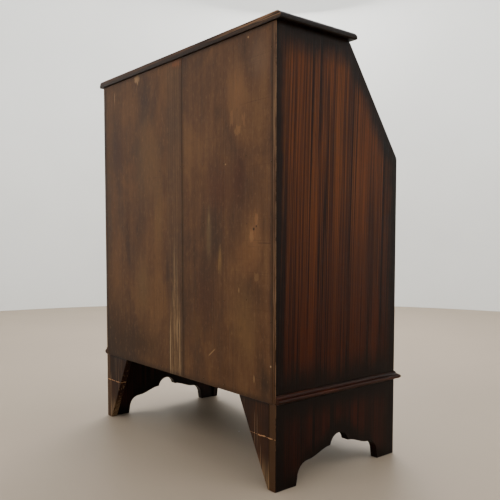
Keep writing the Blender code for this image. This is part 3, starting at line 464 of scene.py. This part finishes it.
def stroke(s, start, end, width):
    """1 along a straight scratch, from its start to its end."""
    along = (end - start).normalized()
    across = along.cross(Y)
    away = s.away(s.dot(across), start.dot(across))
    reach = s.away(s.dot(along), (start + end).dot(along) / 2)
    thin = s.smooth(away, width, width * 0.3)
    return s.times(thin, s.smooth(reach, (end - start).length / 2, (end - start).length / 4))


def back_boards():
    for side, seed in (("left", 70.0), ("right", 90.0)):
        node = f"back_panel_{side}"
        low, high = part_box(node)
        s = Shader(f"back_{side}_wood")
        x, z = s.dot(X), s.dot(Z)
        cloud = s.noise(s.place, (9, 9, 4.5), detail=6.0, roughness=0.62, distortion=0.5, seed=seed)
        streak = s.noise(s.place, (60, 60, 1.5), detail=4.0, roughness=0.65, seed=seed + 2)
        fibre = s.noise(s.place, (700, 700, 12), detail=3.0, roughness=0.6, seed=seed + 4)
        tone = s.plus(s.times(cloud, 0.66), s.times(streak, 0.18))
        tone = s.plus(tone, s.times(fibre, 0.16))
        colour = s.ramp(tone, (0.37, bare(62, 41, 27)), (0.51, bare(90, 63, 42)), (0.65, bare(112, 84, 59)))
        for u, v, half_width, half_height, tint, strength, ragged in PATCHES:
            if low.x - half_width < u < high.x + half_width:
                spot = s.blot(x, z, (u, v), (half_width, half_height), ragged, (14, 14, 5))
                colour = s.tint(colour, spot, strength, tint)
        if side == "right":
            colour = worn_band(s, x, z, low.x, colour)
            shadow = s.times(s.smooth(z, low.z + 0.30, low.z + 0.02), s.smooth(x, low.x, high.x))
            colour = s.tint(colour, shadow, 0.80, bare(44, 28, 17))
        mottle = s.noise(s.place, (150, 150, 60), detail=4.0, roughness=0.7, seed=seed + 6)
        colour = s.tint(colour, s.smooth(mottle, 0.52, 0.74), 0.28, bare(140, 112, 84))
        colour = s.tint(colour, s.smooth(mottle, 0.46, 0.28), 0.26, bare(44, 28, 19))
        scored = s.noise(s.place, (5, 5, 900), detail=2.0, seed=seed + 8)
        colour = s.tint(colour, s.smooth(scored, 0.66, 0.72), 0.30, bare(46, 30, 20))
        dark_grain = s.smooth(s.noise(s.place, (330, 330, 2.6), detail=3.0, seed=seed + 9), 0.58, 0.70)
        colour = s.tint(colour, dark_grain, 0.18, bare(48, 30, 19))
        for u, v, half_width, half_height, tint, strength, ragged in MARKS:
            if low.x < u < high.x:
                spot = s.blot(x, z, (u, v), (half_width, half_height), ragged, (160, 160, 60))
                spot = s.times(s.smooth(spot, 0.0, 0.8), strength)
                colour = s.mix(spot, colour, tint)
        if side == "left":
            colour = s.tint(colour, stroke(s, *SCRATCH, 0.0022), 0.7, bare(160, 132, 104))
            tick = stroke(s, Vector((TICK_END, 0, TICK_Z)), Vector((low.x, 0, TICK_Z)), 0.0012)
            colour = s.tint(colour, tick, 0.6, bare(34, 20, 14))
        rim = inset(s, [(X, low.x, 0.012), (-X, -high.x, 0.012), (Z, low.z, 0.016), (-Z, -high.z, 0.012)])
        colour = s.tint(colour, s.smooth(rim, 1.0, 0.0), 0.55, bare(38, 24, 17))
        relief = s.plus(s.times(fibre, 0.5), s.times(dark_grain, -0.6))
        relief = s.plus(relief, s.times(mottle, 0.5))
        roughness = s.plus(s.times(cloud, 0.25), 0.46)
        dress(node, s.finish(colour, roughness, relief, depth=0.00025, Specular_IOR_Level=0.2))


def worn_band(s, x, z, seam, colour):
    """The strip beside the seam: greyed above, and worn to a pale streaky band lower down."""
    strip = s.times(s.smooth(x, seam + 0.078, seam + 0.060), s.smooth(x, seam, seam + 0.006))
    lines = s.noise(s.place, (230, 230, 1.6), detail=4.0, roughness=0.7, seed=81.0)
    greyed = s.ramp(lines, (0.35, bare(58, 42, 32)), (0.65, bare(106, 82, 64)))
    colour = s.tint(colour, strip, 0.55, greyed)
    off_middle = s.away(x, seam + 0.034)
    widening = s.plus(s.times(s.smooth(z, 0.52, 0.24), 0.022), 0.008)
    band = s.smooth(s.math("DIVIDE", off_middle, widening), 1.25, 0.75)
    worn_down = s.times(band, s.smooth(z, 0.56, 0.36))
    chafed = s.noise(s.place, (130, 130, 12), detail=5.0, roughness=0.7, seed=82.0)
    uneven = s.plus(s.times(lines, 0.55), s.times(chafed, 0.45))
    pale = s.times(worn_down, s.smooth(uneven, 0.48, 0.60))
    colour = s.tint(colour, worn_down, 0.45, bare(94, 74, 55))
    return s.tint(colour, pale, 0.85, bare(166, 146, 120))


def rear_brackets():
    for side, seed in (("left", 76.0), ("right", 78.0)):
        node = f"rear_bracket_{side}"
        low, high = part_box(node)
        s = Shader(f"{node}_wood")
        fibre = s.noise(s.place, (420, 420, 6), detail=4.0, roughness=0.65, seed=seed)
        cloud = s.noise(s.place, (22, 22, 10), detail=4.0, seed=seed + 1)
        tone = s.plus(s.times(fibre, 0.6), s.times(cloud, 0.4))
        colour = s.ramp(tone, (0.38, bare(24, 11, 4)), (0.52, bare(54, 29, 13)), (0.66, bare(90, 56, 30)))
        if side == "right":
            # Painted shade: the right bracket is darkened for the shade it stands in.
            colour = s.mix(1.0, colour, (0.62, 0.52, 0.44), "MULTIPLY")  # the darker of the two
        worn = s.times(s.smooth(s.dot(Z), low.z + 0.080, low.z + 0.010), s.smooth(fibre, 0.36, 0.55))
        colour = s.tint(colour, worn, 0.75, bare(150, 128, 104))
        stripes = s.smooth(s.noise(s.place, (240, 240, 3.5), detail=2.0, seed=seed + 2), 0.62, 0.66)
        colour = s.tint(colour, stripes, 0.55, bare(160, 134, 112))
        # Painted shade: the top of each bracket darkened, where it meets the shaded underside of the desk.
        under = s.smooth(s.dot(Z), high.z - 0.010, high.z)
        colour = s.tint(colour, under, 0.8, bare(22, 13, 9))
        colour = break_line(s, colour, 29.0)
        relief = s.plus(fibre, s.times(stripes, 0.5))
        roughness = s.plus(s.times(cloud, 0.2), 0.5)
        dress(node, s.finish(colour, roughness, relief, depth=0.0003, Specular_IOR_Level=0.2))


PINE = (srgb(150, 112, 72), srgb(182, 144, 98), srgb(206, 172, 126))
UNVARNISHED = {"depth": 0.0002, "Specular_IOR_Level": 0.25}
SMALL_FRONT = 0.010  # thickness of a small drawer's stained front


def pale_wood(s, at, seed):
    """Quarter-sawn pale wood, grain along the second axis of at, with grime."""
    broad = s.noise(at, (30, 1.2, 30), detail=3.0, seed=seed)
    rings = s.noise(at, (190, 2.2, 190), detail=4.0, roughness=0.65, seed=seed + 1)
    fibre = s.noise(at, (1100, 16, 1100), detail=2.0, seed=seed + 2)
    tone = s.plus(s.times(broad, 0.35), s.times(rings, 0.40))
    tone = s.plus(tone, s.times(fibre, 0.25))
    colour = s.ramp(tone, (0.38, PINE[0]), (0.51, PINE[1]), (0.64, PINE[2]))
    grime = s.smooth(s.noise(at, (9, 3, 9), detail=5.0, roughness=0.55, seed=seed + 3), 0.46, 0.72)
    colour = s.tint(colour, grime, 0.24, srgb(116, 84, 52))
    return colour, s.plus(s.times(rings, 0.6), s.times(fibre, 0.4))


DOVETAIL_PITCH = 0.030
LINING_BOARD = 0.010  # thickness of a long drawer's sides and back
BACK_DEPTH = 0.0102  # what counts as the back, in from its outer face


def dovetails(s, along, foot, start, depth, colour):
    """Draws a dovetailed joint on a box's side, with tails that widen from start over the depth."""
    into = s.math("DIVIDE", s.minus(along, start), depth)
    inside = s.times(s.math("GREATER_THAN", into, 0.0), s.math("LESS_THAN", into, 1.0))
    row = s.math("FRACT", s.math("DIVIDE", s.minus(s.dot(Z), foot), DOVETAIL_PITCH))
    away = s.away(row, 0.5)
    half = s.minus(0.36, s.times(into, 0.10))
    pin = s.times(inside, s.math("GREATER_THAN", away, half))
    colour = s.tint(colour, pin, 0.55, srgb(118, 82, 50))
    outline = s.smooth(s.away(away, half), 0.030, 0.010)
    colour = s.tint(colour, s.times(outline, inside), 0.8, srgb(60, 38, 24))
    scribe = s.smooth(s.away(into, 1.0), 0.06, 0.02)
    return s.tint(colour, scribe, 0.6, srgb(80, 54, 34))


def drawer_linings():
    for number in (1, 2, 3):
        low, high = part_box(f"drawer_frame_{number}")
        s = Shader(f"drawer_frame_{number}_wood")
        lengthways = s.vector(s.dot(X), s.dot(Y), s.dot(Z))
        crossways = s.vector(s.dot(Y), s.dot(X), s.dot(Z))
        sides, relief = pale_wood(s, lengthways, 80.0 + number)
        back, _ = pale_wood(s, crossways, 84.0 + number)
        colour = s.mix(s.math("GREATER_THAN", s.dot(Y), high.y - BACK_DEPTH), sides, back)
        outside = s.math("GREATER_THAN", s.math("ABSOLUTE", s.dot(X)), high.x - 0.0004)
        jointed = dovetails(s, s.dot(Y), low.z, low.y, LINING_BOARD, colour)
        jointed = dovetails(s, s.times(s.dot(Y), -1.0), low.z, -high.y, LINING_BOARD, jointed)
        colour = s.mix(outside, colour, jointed)
        rubbed = s.smooth(s.dot(Z), low.z + 0.012, low.z)
        colour = s.tint(colour, rubbed, 0.45, srgb(96, 68, 44))
        dress(f"drawer_frame_{number}", s.finish(colour, 0.62, relief, **UNVARNISHED))
        s = Shader(f"drawer_bottom_{number}_wood")
        colour, relief = pale_wood(s, s.vector(s.dot(Y), s.dot(X), s.dot(Z)), 88.0 + number)
        dress(f"drawer_bottom_{number}", s.finish(colour, 0.62, relief, **UNVARNISHED))
    for side, seed in (("left", 94.0), ("right", 97.0)):
        node = f"small_drawer_{side}"
        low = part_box(node)[0]
        figure = Figure(f"{node}_wood", X, Z, WALNUT, seed, size=0.6)
        s = figure.shader
        figure.shade(inset(s, box_edges(node, {"X": (0.020, 0.020), "Z": (0.012, 0.012)})))
        lining, _ = pale_wood(s, s.vector(s.dot(X), s.dot(Y), s.dot(Z)), seed + 1)
        lining = dovetails(s, s.dot(Y), low.z - 0.006, low.y + SMALL_FRONT, 0.006, lining)
        figure.colour = s.mix(s.math("GREATER_THAN", s.dot(Y), low.y + SMALL_FRONT), figure.colour, lining)
        dress(node, figure.varnish(0.45))


BORDER = (0.0105, 0.0185)  # the gilt lines on the leather, in from its edge
GILT = srgb(196, 158, 84)


def leather():
    """Green hide with a grain of small cells, faded and scuffed in the middle, and a tooled gilt border."""
    low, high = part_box("fall_leather")
    s = Shader("green_hide")
    hinge = Vector(JOINTS["fall_hinge"]["pos_m"])
    x, up = s.dot(X), s.dot(UP_FALL)
    first, last = (low - hinge).z / UP_FALL.z, (high - hinge).z / UP_FALL.z
    foot = hinge.dot(UP_FALL)
    grain = {"Vector": s.place, "Scale": 620.0}
    pebbles = s.make("ShaderNodeTexVoronoi", grain, feature="DISTANCE_TO_EDGE")
    cells = s.smooth(pebbles.outputs["Distance"], 0.0, 0.22)
    cloud = s.noise(s.place, (7, 7, 7), detail=4.0, roughness=0.6, seed=101.0)
    colour = s.ramp(cloud, (0.34, srgb(24, 44, 29)), (0.52, srgb(34, 58, 38)), (0.72, srgb(56, 78, 50)))
    colour = s.mix(s.smooth(cells, 0.6, 0.0), colour, srgb(18, 34, 23))
    edges = box_edges("fall_leather", {"X": (0.030, 0.030)})
    edges += [(UP_FALL, foot + first, 0.030), (-UP_FALL, -foot - last, 0.030)]
    colour = s.tint(colour, s.smooth(inset(s, edges), 1.0, 0.1), 0.5, srgb(18, 32, 22))
    scuffs = s.smooth(s.noise(s.place, (34, 34, 34), detail=6.0, roughness=0.7, seed=103.0), 0.60, 0.74)
    colour = s.tint(colour, scuffs, 0.45, srgb(104, 112, 78))
    stain_spot = s.blot(x, up, (0.135, foot + 0.115), (0.018, 0.014), 1.0, (70, 70, 70))
    colour = s.tint(colour, s.smooth(stain_spot, 0.0, 0.3), 0.6, srgb(16, 22, 24))

    half, middle = (high.x - low.x) / 2, foot + (first + last) / 2
    from_side = s.minus(half, s.math("ABSOLUTE", x))
    from_end = s.minus((last - first) / 2, s.away(up, middle))
    inward = s.math("MINIMUM", from_side, from_end)
    gilt = 0.0
    for at, width in zip(BORDER, (0.0010, 0.0006)):
        gilt = s.math("MAXIMUM", gilt, s.smooth(s.away(inward, at), width, width * 0.5))
    beads = [s.math("PINGPONG", axis, 0.0035) for axis in (x, up)]
    between = s.away(inward, sum(BORDER) / 2)
    lozenge = [s.plus(between, s.times(bead, 0.7)) for bead in beads]
    sideways = s.math("LESS_THAN", from_end, from_side)
    run = s.make("ShaderNodeMix", {0: sideways, 2: lozenge[1], 3: lozenge[0]}, data_type="FLOAT").outputs[0]
    gilt = s.math("MAXIMUM", gilt, s.smooth(run, 0.0017, 0.0013))
    rubbed = s.noise(s.place, (120, 120, 120), detail=4.0, roughness=0.7, seed=105.0)
    gilt = s.times(gilt, s.smooth(rubbed, 0.36, 0.50))
    colour = s.mix(gilt, colour, GILT)
    relief = s.minus(cells, s.times(gilt, 0.8))
    roughness = s.minus(s.plus(0.42, s.times(scuffs, 0.2)), s.times(gilt, 0.1))
    s.tree.links.new(s.times(gilt, 0.7), s.surface.inputs["Metallic"])
    dress("fall_leather", s.finish(colour, roughness, relief, depth=0.00015, Specular_IOR_Level=0.35))


def aged_brass(name, seed, size=1.0, dark=1.0):
    """Brass with brown tarnish in patches, brighter where hands have rubbed it, and faintly pitted."""
    s = Shader(name)
    scale = 46 / size
    tarnish = s.noise(s.place, (scale, scale, scale), detail=6.0, roughness=0.62, seed=seed)
    film = s.noise(s.place, (scale * 4,) * 3, detail=4.0, roughness=0.6, seed=seed + 1)
    tone = s.plus(s.times(tarnish, 0.65), s.times(film, 0.35))
    tones = ((0.36, (74, 48, 24)), (0.48, (132, 96, 50)), (0.60, (176, 138, 78)), (0.72, (198, 166, 104)))
    colour = s.ramp(tone, *[(at, tuple(c * dark for c in srgb(*values))) for at, values in tones])
    verdigris = s.smooth(s.noise(s.place, (scale * 2,) * 3, detail=5.0, seed=seed + 2), 0.66, 0.74)
    colour = s.tint(colour, verdigris, 0.35, srgb(70, 84, 60))
    pits = s.smooth(s.noise(s.place, (1600, 1600, 1600), detail=1.0, seed=seed + 3), 0.64, 0.74)
    roughness = s.minus(0.66, s.times(tone, 0.60))
    relief = s.minus(s.times(film, 0.5), pits)
    return s.finish(colour, roughness, relief, depth=0.00006, Metallic=1.0)


def brass():
    fittings = aged_brass("aged_brass", 110.0)
    for node in NODES:
        if node.startswith(("hinge_", "fall_lock", "fall_escutcheon", "loper_knob", "handle_plate", "bail_",
                            "small_knob")):
            dress(node, fittings)
    return fittings


# ---------------------------------------------------------------- small fittings
def place_piece(name, mesh, material, body):
    """Adds a piece from bmesh data, in its own place, riding on a body."""
    piece = bpy.data.objects.new(name, bpy.data.meshes.new(name))
    bmesh.ops.recalc_face_normals(mesh, faces=mesh.faces)
    mesh.to_mesh(piece.data)
    mesh.free()
    piece.data.materials.append(material)
    bpy.context.scene.collection.objects.link(piece)
    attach(piece, body)
    return piece


def frame_of(normal, turn):
    """Two directions square to a normal, turned about it."""
    side = X if abs(normal.x) < 0.5 else Y
    side = (side - normal * side.dot(normal)).normalized()
    other = normal.cross(side)
    return side * math.cos(turn) + other * math.sin(turn), other * math.cos(turn) - side * math.sin(turn)


def add_screw(mesh, centre, normal, turn, radius=0.0027, proud=0.00018, slot=0.00040, depth=0.0007):
    """A countersunk slotted head: half a disc on each side of the slot, a floor in it, a rim below."""
    u, v = frame_of(normal, turn)

    def vertex(x, y, z):
        return mesh.verts.new(centre + u * x + v * y + normal * z)

    open_angle = math.asin(slot / radius)
    steps = 14
    floor = []
    for half in (1, -1):
        angles = [open_angle + (math.pi - 2 * open_angle) * i / steps for i in range(steps + 1)]
        rim = [(radius * math.cos(a), half * radius * math.sin(a)) for a in angles]
        top = [vertex(x, y, proud) for x, y in rim]
        foot = [vertex(x, y, -depth) for x, y in rim]
        mesh.faces.new(top)
        for i in range(steps):
            mesh.faces.new((top[i], foot[i], foot[i + 1], top[i + 1]))
        sunk = [vertex(x, y, -depth * 0.6) for x, y in (rim[-1], rim[0])]
        mesh.faces.new((top[-1], top[0], sunk[1], sunk[0]))
        floor.append(sunk)
    mesh.faces.new((floor[0][0], floor[0][1], floor[1][1], floor[1][0]))


SCREW_SPACING = 0.020
DESK_SCREW_INSET = 0.0085  # in front of the leaf's back edge
FALL_SCREW_RISE = 0.0135  # up the fall from the hinge's axis
WRITING_SURFACE = JOINTS["fall_hinge"]["pos_m"][2]


def hinge_screws(material):
    """Three screws in each leaf: on the writing surface, and on the fall's inner face."""
    for side in ("left", "right"):
        for leaf, body in (("desk", "carcass"), ("fall", "fall")):
            low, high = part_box(f"hinge_leaf_{leaf}_{side}")
            middle = (low.x + high.x) / 2
            mesh = bmesh.new()
            for number, offset in enumerate((-SCREW_SPACING, 0.0, SCREW_SPACING)):
                turn = 0.5 + number * 1.1
                if leaf == "desk":
                    centre = Vector((middle + offset, high.y - DESK_SCREW_INSET, WRITING_SURFACE))
                    add_screw(mesh, centre, Z, turn)
                else:
                    hinge = Vector(JOINTS["fall_hinge"]["pos_m"])
                    centre = Vector((middle + offset, hinge.y, hinge.z)) + UP_FALL * FALL_SCREW_RISE
                    add_screw(mesh, centre, -OUT_OF_FALL, turn)
            place_piece(f"hinge_screws_{leaf}_{side}", mesh, material, body)


def add_pin(mesh, centre, radius, proud):
    """A domed pin head on the back."""
    rings, steps = 4, 14
    loops = []
    for ring in range(rings + 1):
        angle = math.pi / 2 * ring / rings
        out, up = radius * math.cos(angle), proud * math.sin(angle)
        if ring == rings:
            loops.append([mesh.verts.new(centre + Y * up)])
            continue
        loops.append([mesh.verts.new(centre + Y * up + X * (out * math.cos(math.tau * i / steps))
                                     + Z * (out * math.sin(math.tau * i / steps))) for i in range(steps)])
    for lower, upper in zip(loops, loops[1:]):
        for i in range(steps):
            j = (i + 1) % steps
            tip = (upper[j], upper[i]) if len(upper) > 1 else (upper[0],)
            mesh.faces.new((lower[i], lower[j], *tip))
    mesh.faces.new(list(reversed(loops[0])))


PIN_RADIUS, PIN_PROUD = 0.0015, 0.0005
PIN_STRAY = 0.0015  # how far a pin may be out of line, before it is scaled
RIM_INSET, SEAM_INSET, TOP_INSET = 0.0045, 0.007, 0.008


def back_pins(material):
    """Small pins hold each back board along its edges. They sit a little unevenly."""
    for side in ("left", "right"):
        low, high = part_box(f"back_panel_{side}")
        rim = low.x + RIM_INSET if side == "left" else high.x - RIM_INSET
        seam = high.x - SEAM_INSET if side == "left" else low.x + SEAM_INSET
        places = [(rim, low.z + (high.z - low.z) * (i + 0.5) / 7) for i in range(7)]
        for board in ("bottom_board", "dust_board_lower", "dust_board_upper", "writing_board"):
            under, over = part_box(board)
            height = (under.z + over.z) / 2
            places += [(rim + (seam - rim) * share, height) for share in (0.25, 0.5, 0.75, 1.0)]
        places += [(rim + (seam - rim) * share, high.z - TOP_INSET) for share in (0.02, 0.35, 0.68, 1.0)]
        mesh = bmesh.new()
        for number, (x, z) in enumerate(places):
            stray = PIN_STRAY * math.sin(number * 2.4)
            centre = Vector((x + stray * 0.5, high.y - 0.0001, z + stray * 4))
            add_pin(mesh, centre, PIN_RADIUS, PIN_PROUD)
        place_piece(f"back_pins_{side}", mesh, material, "carcass").data.shade_smooth()


def prism_piece(name, outline, depth_axis, depth, material):
    """A flat outline of points, pushed through along an axis, with softened edges."""
    mesh = bmesh.new()
    face = mesh.faces.new([mesh.verts.new(point) for point in outline])
    pushed = bmesh.ops.extrude_face_region(mesh, geom=[face])["geom"]
    corners = [item for item in pushed if isinstance(item, bmesh.types.BMVert)]
    bmesh.ops.translate(mesh, verts=corners, vec=depth_axis * depth)
    piece = place_piece(name, mesh, material, "carcass")
    bevel = piece.modifiers.new("eased edges", "BEVEL")
    bevel.width, bevel.segments = 0.0006, 2
    bevel.limit_method, bevel.angle_limit = "ANGLE", math.radians(50)
    return piece


CLEARANCE = 0.0002  # between a small piece and the faces it stands against
BLOCK_LEG, BLOCK_LENGTH = 0.022, 0.070


def block_outline(corner, inward):
    """A glue block's section: a square corner, with the side across from it planed off."""
    shares = ((0.0, 0.0), (1.0, 0.0), (0.9, 0.2), (0.2, 0.9), (0.0, 1.0))
    return [corner + inward * BLOCK_LEG * along - Z * BLOCK_LEG * down for along, down in shares]


def glue_blocks():
    """Rubbed blocks under the bottom board, in its corners with the base."""
    s = Shader("glue_block_wood")
    fibre = s.noise(s.place, (260, 9, 260), detail=4.0, roughness=0.6, seed=121.0)
    colour = s.ramp(fibre, (0.36, bare(52, 34, 22)), (0.64, bare(104, 78, 54)))
    material = s.finish(colour, 0.65, fibre, depth=0.0003, Specular_IOR_Level=0.2)
    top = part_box("bottom_board")[0].z - CLEARANCE
    for side, sign in (("left", 1), ("right", -1)):
        low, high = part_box(f"base_side_{side}")
        inner = high.x if sign > 0 else low.x
        for number, share in enumerate((0.20, 0.50, 0.80)):
            y = low.y + (high.y - low.y) * share - BLOCK_LENGTH / 2
            outline = block_outline(Vector((inner + sign * CLEARANCE, y, top)), X * sign)
            name = f"glue_block_{side}_{number + 1}"
            prism_piece(name, outline, Y, BLOCK_LENGTH, material)
    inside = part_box("front_apron")[1].y + CLEARANCE
    for number, x in enumerate((-0.20, 0.0, 0.20)):
        outline = block_outline(Vector((x - BLOCK_LENGTH / 2, inside, top)), Y)
        prism_piece(f"glue_block_front_{number + 1}", outline, X, BLOCK_LENGTH, material)


UNIT_BOARD = 0.008  # thickness of the pigeonhole case's boards
OUTER_BAY = 0.150
ARCH_DEPTH, ARCH_HORNS, ARCH_POINT = 0.007, 0.017, 0.004  # in the middle, more at the ends, less at the tip


def valances():
    """A shaped board across the top of each pigeonhole, with a pointed arch like the base's."""
    low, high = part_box("pigeonhole_case")
    inner_bay = (high.x - low.x - 2 * OUTER_BAY - 6 * UNIT_BOARD) / 3
    widths = [OUTER_BAY, inner_bay, inner_bay, inner_bay, OUTER_BAY]
    figure = Figure("valance_veneer", X, Z, WALNUT, 57.0, size=0.7)
    material = figure.varnish(0.42)
    top, left = high.z - UNIT_BOARD - CLEARANCE, low.x + UNIT_BOARD
    setback, thickness, steps = 0.0015, 0.004, 40
    for number, width in enumerate(widths):
        start, end = left + CLEARANCE, left + width - CLEARANCE
        outline = [Vector((end, low.y + setback, top)), Vector((start, low.y + setback, top))]
        for i in range(steps + 1):
            x = start + (end - start) * i / steps
            share = abs(2 * i / steps - 1)
            wave = 0.5 - 0.5 * math.cos(math.pi * min(1.0, share * 1.15))
            drop = ARCH_DEPTH + ARCH_HORNS * wave - ARCH_POINT * max(0.0, 1 - share * 5) ** 2
            outline.append(Vector((x, low.y + setback, top - drop)))
        prism_piece(f"pigeonhole_valance_{number + 1}", outline, Y, thickness, material)
        left += width + UNIT_BOARD


# ---------------------------------------------------------------- stage, light and camera
ROOM_RADIUS = 3.4
ROOM_HEIGHT = 3.3


def plaster(name, colour, roughness):
    s = Shader(name)
    tone = s.noise(s.place, (1.4, 1.4, 1.4), detail=3.0)
    dim = tuple(c * 0.94 for c in colour)
    return s.finish(s.ramp(tone, (0.3, dim), (0.7, colour)), roughness, Specular_IOR_Level=0.2)


def studio():
    """A round room: a plain floor, and a white wall that stands straight up from it, open above."""
    floor = plaster("pale_floor", srgb(150, 135, 118), 0.5)
    wall = plaster("white_wall", srgb(232, 233, 230), 0.7)
    for name, rings, material in (
        ("studio_floor", [(0.001, 0.0), (ROOM_RADIUS, 0.0)], floor),
        ("studio_wall", [(ROOM_RADIUS, 0.0), (ROOM_RADIUS, ROOM_HEIGHT)], wall),
    ):
        mesh = bmesh.new()
        profile = [mesh.verts.new((radius, 0, height)) for radius, height in rings]
        edges = [mesh.edges.new(pair) for pair in zip(profile, profile[1:])]
        turn = {"axis": Z, "cent": (0, 0, 0), "angle": math.tau, "steps": 128, "use_merge": True}
        bmesh.ops.spin(mesh, geom=profile + edges, **turn)
        piece = bpy.data.objects.new(name, bpy.data.meshes.new(name))
        mesh.to_mesh(piece.data)
        mesh.free()
        piece.data.shade_smooth()
        piece.data.materials.append(material)
        bpy.context.scene.collection.objects.link(piece)


def area_light(name, place, target, size, power, colour=(1.0, 1.0, 1.0)):
    data = bpy.data.lights.new(name, "AREA")
    data.shape = "DISK"
    data.size, data.energy, data.color = size, power, colour
    light = bpy.data.objects.new(name, data)
    bpy.context.scene.collection.objects.link(light)
    light.location = place
    light.rotation_euler = (Vector(target) - Vector(place)).to_track_quat("-Z", "Y").to_euler()


def lights():
    area_light("key_light", (1.9, -2.0, 3.0), (0, 0, 0.4), 1.8, 105.0, (1.0, 0.99, 0.97))
    area_light("wall_light", (0.3, -0.3, 3.3), (2.4, -2.4, 1.0), 1.6, 80.0)
    area_light("rear_light", (0.2, 2.6, 3.0), (0, 0, 0.6), 1.8, 40.0, (1.0, 0.99, 0.97))
    area_light("side_light", (-2.6, -0.6, 3.0), (0, 0, 0.6), 1.8, 34.0, (0.98, 0.99, 1.0))
    world = bpy.data.worlds.new("studio")
    world.use_nodes = True
    bpy.context.scene.world = world
    backdrop = world.node_tree.nodes["Background"]
    backdrop.inputs["Color"].default_value = (*srgb(240, 242, 244), 1.0)
    backdrop.inputs["Strength"].default_value = 1.25


def camera():
    """The eye stands behind the desk's left rear corner, a little above mid height."""
    low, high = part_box("base_side_left")
    middle = (low.y + high.y) / 2
    data = bpy.data.cameras.new("camera")
    data.lens, data.sensor_width, data.shift_y = 45.35, 36.0, 0.0492
    eye = bpy.data.objects.new("camera", data)
    bpy.context.scene.collection.objects.link(eye)
    eye.location = (-1.3567, middle + 1.0719, 0.5425)
    eye.rotation_euler = (math.radians(86.601), 0, math.radians(230.466))
    bpy.context.scene.camera = eye


camera()
lights()
studio()
side_panels()
base_boards()
front_and_inside()
mouldings_and_top()
back_boards()
rear_brackets()
drawer_linings()
leather()
fittings_brass = brass()
hinge_screws(fittings_brass)
back_pins(aged_brass("blackened_pins", 130.0, size=0.3, dark=0.12))
glue_blocks()
valances()
